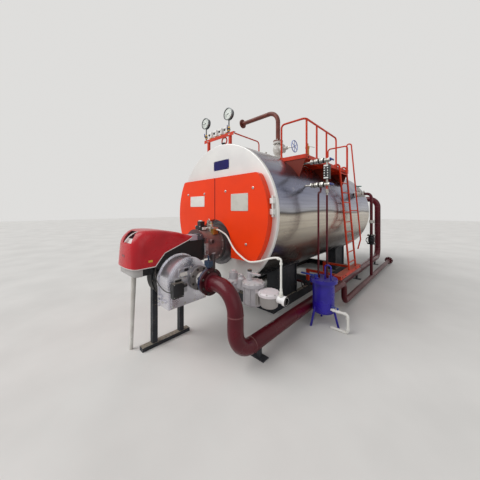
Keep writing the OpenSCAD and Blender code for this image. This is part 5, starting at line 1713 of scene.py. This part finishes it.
@dataclass
class TopGear:
    """The steam valve and pipe, the safety valve and the flue box.

    steam_y and safety_y are the places of the two branches on top of the shell, and box_half is the
    flue box's side.
    """

    steam_y: float = 1550.0
    safety_y: float = 2870.0
    steam_pipe: float = 89.0
    run_z: float = 3630.0
    coil_turns: int = 8
    box_half: float = 561.0
    rib_y: tuple[float, ...] = (4345, 4700, 5080, 5590)

    def build(self) -> None:
        """Dresses the nodes and adds the small pieces on them."""
        dress(STEAM_VALVE, "steam_valve")
        dress(OXIDE, "steam_pipe")
        dress(SAFETY_VALVE, "safety_valve")
        dress(GALVANISED, "flue_box")
        self.fasteners()
        spring = tube(self.coil((0, self.safety_y, 2900), 34, 200), 9, 8)
        piece("safety_valve_spring", "fitting_steel", spring, DARK_STEEL)
        y = self.steam_y
        at = [((0, y, 3034), UP), ((0, y, 3395), UP),
              ((-235, y, self.run_z), RIGHT), ((-960, y, self.run_z), RIGHT)]
        welds = [weld_bead(place, axis, self.steam_pipe, 9) for place, axis in at]
        piece("steam_pipe_welds", "oxide_paint", joined(*welds), OXIDE)
        heights = np.arange(1120, 2030, 110)
        heads = [repeated(round_screw(9), lattice(side * self.box_half, self.rib_y, heights), axis)
                 for side, axis in ((1, RIGHT), (-1, LEFT))]
        piece("flue_box_rivets", "end_plate", joined(*heads), STEEL)

    def fasteners(self) -> None:
        """Studs through each flange, their lower ends looking down, and the bonnet's bolts."""
        studs, steam, safety = [], self.steam_y, self.safety_y
        for y, lo, hi in ((steam, 2630, 2678), (steam, 2946, 3012), (safety, 2630, 2676)):
            studs.append(ring_of(stud(14), (0, y, hi), UP, 80, 8))
            under = ring_of(stud(14), (0, 0, 0), UP, 80, 8)
            studs.append(Form(under.points * [1, -1, -1] + [0, y, lo], under.faces, under.tint))
        studs.append(ring_of(stud(14), (160, safety, 2772), RIGHT, 64, 4))
        studs.append(ring_of(hex_bolt(12), (136, steam, 2830), RIGHT, 74, 6))
        piece("top_flange_bolts", "fitting_steel", joined(*studs), STEEL)

    def coil(self, at: Point, radius: float, height: float) -> np.ndarray:
        """A helix standing at a place: the angle and the height grow together."""
        t = np.linspace(0, 1, self.coil_turns * 20)
        a = 2 * np.pi * self.coil_turns * t
        return np.stack([at[0] + radius * np.cos(a), at[1] + radius * np.sin(a), at[2] + height * t], -1)


@dataclass
class Instruments:
    """The rack with its gauges, switches and impulse pipe.

    A dial's ticks run over 270 degrees against the clock from first_tick down, one every
    tick_angle, and each fifth one is long and has a number.
    """

    gauge_x: Pair = (-715.0, -110.0)
    gauge_z: float = 3180.0
    face_y: float = 237.6
    switches: tuple[float, ...] = (-620.0, -485.0, -350.0, -215.0)
    ticks: int = 31
    first_tick: float = 225.0
    tick_angle: float = 9.0
    step: float = 0.4
    needle_at: float = 198.0

    def bar(self, at: np.ndarray, angle: float, ends: Pair, widths: Pair,
            depth: float) -> Form:
        """A flat bar on a dial, from one radius to another, that may taper.

        Args:
            at: the dial's middle.
            angle: the bar's angle in degrees.
            ends: the two radii.
            widths: half the width at each.
            depth: how far it stands out.

        Returns:
            The form, in the dial's second finish.
        """
        a = math.radians(angle)
        way, side = np.array([math.cos(a), 0, math.sin(a)]), np.array([-math.sin(a), 0, math.cos(a)])
        (r0, r1), (w0, w1) = ends, widths
        ring = np.array([at + way * r0 - side * w0, at + way * r0 + side * w0,
                         at + way * r1 + side * w1, at + way * r1 - side * w1])
        return skin(np.stack([ring, ring + [0, -depth, 0]])).painted(1)

    def dial(self, x: float) -> Form:
        """A white face with ticks, numbers and a needle.

        Args:
            x: the gauge's middle.

        Returns:
            The form.
        """
        y, z = self.face_y - 1.2, self.gauge_z
        middle = np.array([x, y, z])
        parts = [turned([(88, 0), (88, 1.2), (86, 1.6)], (x, self.face_y + 0.8, z), FRONT, 64)]
        for i in range(self.ticks):
            angle, long = self.first_tick - i * self.tick_angle, i % 5 == 0
            w = 1.2 if long else 0.6
            parts.append(self.bar(middle, angle, (66 if long else 73, 80), (w, w), 0.8))
            if long:
                a = math.radians(angle)
                place = middle + 52 * np.array([math.cos(a), 0, math.sin(a)]) + [0, -0.6, 0]
                parts.append(numeral(f"{i / 5 * self.step:.1f}", 17, place).painted(1))
        parts.append(self.bar(middle - [0, 3, 0], self.needle_at, (-22, 70), (3, 0.8), 1.5))
        parts.append(turned([(8, 0), (8, 5), (5, 7)], (x, y, z), FRONT, 24).painted(1))
        return joined(*parts)

    def build(self) -> None:
        """Dresses the nodes and adds the small pieces on them."""
        dress(RACK_RED, "instrument_rack", "sensing_pipes")
        dress(SWITCH_WHITE, "pressure_switches")
        dress(GAUGE_CASE, "pressure_gauges")
        section = [(92, 0), (100.4, 2), (101, 10), (99, 16), (92, 17), (89, 8)]
        for side, x in zip(("left", "right"), self.gauge_x):
            piece(f"gauge_dial_{side}", "switch_white", self.dial(x), GAUGE_FACE, BLACK_INK)
            rim = turned(section, (x, 246, self.gauge_z), FRONT, 64, True)
            piece(f"gauge_rim_{side}", "gauge_case", rim, GAUGE_RIM)
        self.switch_fronts()
        self.cocks()
        siphon = joined(box((-262, 236, 2700), (-196, 262, 2730), 4),
                        turned([(13, 0), (13, 30)], (-228, 238, 2715), FRONT, 16))
        piece("siphon_valve", "gauge_black", siphon, BLACK_PLASTIC)
        bolts = repeated(hex_bolt(10), lattice((-650, -630, -90, -70), 235, 2835), FRONT)
        piece("rack_bolts", "fitting_steel", bolts, STEEL)

    def switch_fronts(self) -> None:
        """Each switch's raised front, its round window and the brass hexagon under it."""
        parts = []
        for x in self.switches:
            parts.append(box((x - 3, 233, 2952), (x + 83, 238.5, 2988), 2))
            window = turned([(19, 0), (19, 6), (14, 9), (14, 12)], (x + 24, 236, 2938), FRONT, 24)
            parts.append(window.painted(1))
            parts.append(turned([(20, 0), (20, 16)], (x + 40, 265, 2870), UP, 6).painted(2))
        piece("pressure_switch_fronts", "switch_white", joined(*parts), SWITCH_WHITE, BLACK_PLASTIC, BRASS)

    def cocks(self) -> None:
        """The hexagons and the blue grip of each gauge's cock, and the siphon's hexagon."""
        parts, nut = [], [(20, 0), (23, 3), (23, 22), (20, 25)]
        for x in self.gauge_x:
            parts += [turned(nut, (x, 260, z), UP, 6) for z in (2900, 2948)]
            parts.append(box((x - 6, 214, 2930), (x + 6, 228, 2990), 3).painted(1))
        parts.append(turned([(19, 0), (19, 40)], (-228, 266, 2810), UP, 6))
        piece("gauge_cocks", "brass_fittings", joined(*parts), BRASS, BLUE_HANDLE)


@dataclass
class Access:
    """The deck, its railing and the ladder.

    deck holds the deck's left, front, right and rear edges. The tread is a grid of low ovals, its
    columns across and its rows along, that lean by lean degrees to either side in turn.
    """

    deck_z: float = 2430.0
    deck: tuple[float, float, float, float] = (555.0, 770.0, 1000.0, 2750.0)
    margin: float = 25.0
    columns: int = 11
    rows: int = 48
    oval: Pair = (13.0, 4.0)
    lean: float = 35.0
    feet: tuple = ((985, 832), (985, 1190), (985, 1590), (985, 2060), (570, 790), (570, 2730), (985, 2730))
    side_bolt_y: tuple[float, ...] = (860, 1300, 1740, 2180, 2620)
    foot_bolt_y: tuple[float, ...] = (1640, 1800, 2400, 2650)

    def tread(self) -> Form:
        """The tread: a sunk oval and a smaller raised one, leaning to either side in turn.

        Returns:
            The form.
        """
        x0, y0, x1, y1 = self.deck
        gap = self.margin
        u, v = np.meshgrid(np.arange(self.columns), np.arange(self.rows), indexing="ij")
        x = x0 + gap + u * (x1 - x0 - 2 * gap) / (self.columns - 1)
        y = y0 + gap + v * (y1 - y0 - 2 * gap) / (self.rows - 1)
        spots = np.stack([x.ravel(), y.ravel(), np.full(x.size, self.deck_z)], -1)
        even = ((u + v) % 2 == 0).ravel()
        oval = arc((0, 0), 1, 0, 315, 8) * self.oval
        parts = []
        for lean, pick in ((self.lean, even), (-self.lean, ~even)):
            c, s = math.cos(math.radians(lean)), math.sin(math.radians(lean))
            flat = oval @ np.array([[c, s], [-s, c]])
            rows = [np.column_stack([flat * share, np.full(8, z)]) for share, z in ((1, -0.5), (0.55, 2.2))]
            parts.append(repeated(skin(np.stack(rows)), spots[pick], UP))
        return joined(*parts)

    def build(self) -> None:
        """Dresses the nodes and adds the deck's tread, the post feet and the bolts."""
        dress(DECK_RED, "platform_deck")
        dress(RACK_RED, "platform_railing", "ladder", "ladder_handrail", "ladder_foot")
        piece("deck_tread", "rack_red", self.tread(), RACK_RED)
        cup = [(17, 0), (26, 0.5), (26, 6), (17, 12)]
        cups = [turned(cup, (x, y, self.deck_z), UP, 24) for x, y in self.feet]
        piece("railing_post_feet", "rack_red", joined(*cups), RACK_RED)
        side = lattice(self.deck[2] + 1, self.side_bolt_y, self.deck_z - 35)
        foot = lattice(1240, self.foot_bolt_y, 440)
        bolts = joined(repeated(hex_bolt(12), side, RIGHT), repeated(hex_bolt(12), foot, RIGHT))
        piece("access_bolts", "fitting_steel", bolts, DARK_STEEL)


@dataclass
class LevelGauge:
    """The level gauge with its two columns of sight marks, and its cocks.

    The body stands at x, y from lo up by height, and its connections are at cock_z. nuts holds each
    connection's hexagons as (distance from x, radius), and rings its gland rings' distances.
    """

    x: float = 1290.0
    y: float = 840.0
    lo: float = 2029.5
    height: float = 206.0
    marks: int = 4
    pitch: float = 35.0
    cock_z: Pair = (1955.0, 2300.0)
    nuts: tuple = ((-238, 37), (-150, 38), (-96, 40), (-68, 40), (20, 30))
    rings: tuple[float, ...] = (-190, -121, -52)

    def build(self) -> None:
        """Dresses the nodes and adds the small pieces on them."""
        dress(GAUGE_BLACK, "level_gauge")
        dress(FITTING, "level_gauge_fittings")
        self.face()
        self.cocks()

    def face(self) -> None:
        """The face plate with two columns of marks between two pale bars, and its bolts."""
        x, y, top = self.x, self.y - 36, self.lo + self.height
        rows = self.lo + 50.5 + np.arange(self.marks) * self.pitch
        mark = turned([(8.5, 0), (8.5, 3), (6.5, 4.4)], (0, 0, 0), UP, 16)
        marks = repeated(mark, lattice((x - 23, x + 23), y, rows), FRONT)
        bars = [box((x - 32, y - 4, z - 10), (x + 32, y + 5, z + 10), 2) for z in (self.lo + 17, top - 17)]
        piece("level_gauge_marks", "switch_white", joined(marks, *bars), WHITE_MARK)
        face = box((x - 36, y, self.lo + 4), (x + 36, y + 13, top - 4), 3)
        piece("level_gauge_face", "gauge_black", face, GAUGE_BLACK)
        between = lattice((x - 30, x + 30), y, rows[:-1] + self.pitch / 2)
        piece("level_gauge_bolts", "fitting_steel", repeated(hex_bolt(5), between, FRONT), DARK_STEEL)

    def cocks(self) -> None:
        """The blue handles, the gland rings and the hexagons of both connections."""
        x, y = self.x, self.y
        handles, nuts, rings = [], [], []
        grip = [(9, 0), (13, 6), (13, 34), (9, 40)]
        for z in self.cock_z:
            handles.append(turned(grip, (x + 74, y - 44, z), FRONT, 16))
            handles.append(box((x + 68, y - 60, z - 12), (x + 82, y + 50, z + 12), 5))
            nuts += [turned([(r, 0), (r, 15)], (x + dx, y, z), RIGHT, 6) for dx, r in self.nuts]
            rings += [turned([(24, 0), (39, 2), (39, 12), (24, 14)], (x + dx, y, z), RIGHT, 32, True)
                      for dx in self.rings]
        piece("level_gauge_handles", "valve_blue", joined(*handles), BLUE_HANDLE)
        piece("level_gauge_gland_rings", "gauge_black", joined(*rings), DARK_STEEL)
        piece("level_gauge_nuts", "fitting_steel", joined(*nuts), STEEL)


@dataclass
class DrainTank:
    """The violet-blue drain tank with its lid, its lever cock, its outlet and the drain pipes.

    The tank stands at x, y. The outlet's cock is at outlet_x, outlet_y, and sleeves holds the
    places of the white sleeves as distances from x with a height, and the way each looks.
    """

    x: float = 1260.0
    y: float = 790.0
    lid_z: float = 638.0
    weld_z: Pair = (208.0, 584.0)
    tank: float = 292.0
    lever_y: float = 695.0
    outlet_x: float = 1475.0
    outlet_y: float = 730.0
    sleeves: tuple = ((292, 252, RIGHT), (337, 190, UP), (337, 53, UP),
                      (280, 17, RIGHT), (148, 252, RIGHT))
    lowest: float = 0.5

    def build(self) -> None:
        """Dresses the nodes and adds the small pieces on them."""
        dress(TANK_BLUE, "drain_tank")
        dress(WHITE_PLASTIC, "tank_outlet")
        dress(DRAIN_PIPE, "drain_piping")
        bolts = joined(ring_of(hex_bolt(11), (self.x, self.y, self.lid_z), UP, 168, 8),
                       ring_of(stud(10), (720, 1330, 318), LEFT, 44, 4),
                       ring_of(stud(12), (1320, 5379, 102), FRONT, 0.1, 1))
        piece("tank_lid_bolts", "tank_blue", bolts, TANK_BLUE)
        welds = [weld_bead((self.x, self.y, z), UP, self.tank, 9) for z in self.weld_z]
        piece("tank_welds", "tank_blue", joined(*welds), TANK_BLUE)
        y, rod = self.lever_y, [(8, 0), (14, 6), (14, 84), (10, 92)]
        nut = [(18, 0), (20, 3), (20, 14), (14, 18)]
        grip = joined(turned(rod, (970, y, 679), RIGHT, 16),
                      turned(nut, (self.x - 60, y, 684), UP, 6))
        piece("tank_lever_grip", "valve_blue", grip, BLUE_HANDLE)
        self.outlet()

    def outlet(self) -> None:
        """The outlet cock's stem, lever and grip, and the sleeves, cut off just over the ground."""
        x, y = self.outlet_x, self.outlet_y
        cock = joined(turned([(12, 0), (12, 26)], (x, y, 268), UP, 16),
                      box((x - 82, y - 9, 292), (x + 12, y + 9, 298), 3),
                      box((x - 84, y - 12, 288), (x - 36, y + 12, 302), 5))
        piece("outlet_cock_handle", "valve_blue", cock, BLUE_HANDLE)
        section = [(18, 0), (22, 2), (22, 24), (18, 26)]
        rings = joined(*(turned(section, (self.x + dx, y, z), axis, 24) for dx, z, axis in self.sleeves))
        rings.points[:, 2] = np.maximum(rings.points[:, 2], self.lowest)
        piece("outlet_sleeves", "white_plastic", rings, WHITE_PLASTIC)


@dataclass
class FeedLine:
    """The feed water line with its stop valve, check valve, gate valve and their flanges."""

    x: float = 1320.0
    y: float = 3280.0
    z: float = 1955.0
    stop_x: Pair = (991.0, 1174.0)
    check_z: float = 1297.0
    gate_z: float = 1030.0

    def build(self) -> None:
        """Dresses the node with its valves as zones, and adds the flange bolts and the check valve."""
        dress(FEED_PIPE, "feed_water_line")
        x, y, (left, right) = self.x, self.y, self.stop_x
        bolts = joined(ring_of(stud(12), (left, y, self.z), LEFT, 58, 4),
                       ring_of(stud(12), (right, y, self.z), RIGHT, 58, 4),
                       ring_of(stud(13), (x, y, self.gate_z), UP, 66, 8))
        piece("feed_line_bolts", "fitting_steel", bolts, STEEL)
        z = self.check_z
        check = joined(turned([(28, 0), (28, 30), (20, 34)], (x + 27, y, z + 33), RIGHT, 24),
                       turned([(36, 0), (42, 6), (42, 60), (36, 66)], (x, y, z), UP, 24))
        piece("feed_check_valve", "cast_iron", check, CAST_VALVE)


def main() -> None:
    """Sets the camera, then builds the cords and every other sub-assembly, then the studio."""
    studio = Studio()
    studio.camera()
    for part in (Conduit(), DriveCable(), BurnerCover(), FanHousing(), BurnerHead(), Shell(),
                 GasTrain(), Recirculation(), TopGear(), Instruments(), Access(), LevelGauge(),
                 DrainTank(), FeedLine()):
        log.info("building %s", type(part).__name__)
        part.build()
    studio.floor()
    studio.lights()
    studio.world()


if __name__ == "__main__":
    logging.basicConfig(level=logging.INFO, format="%(name)s: %(message)s")
    main()
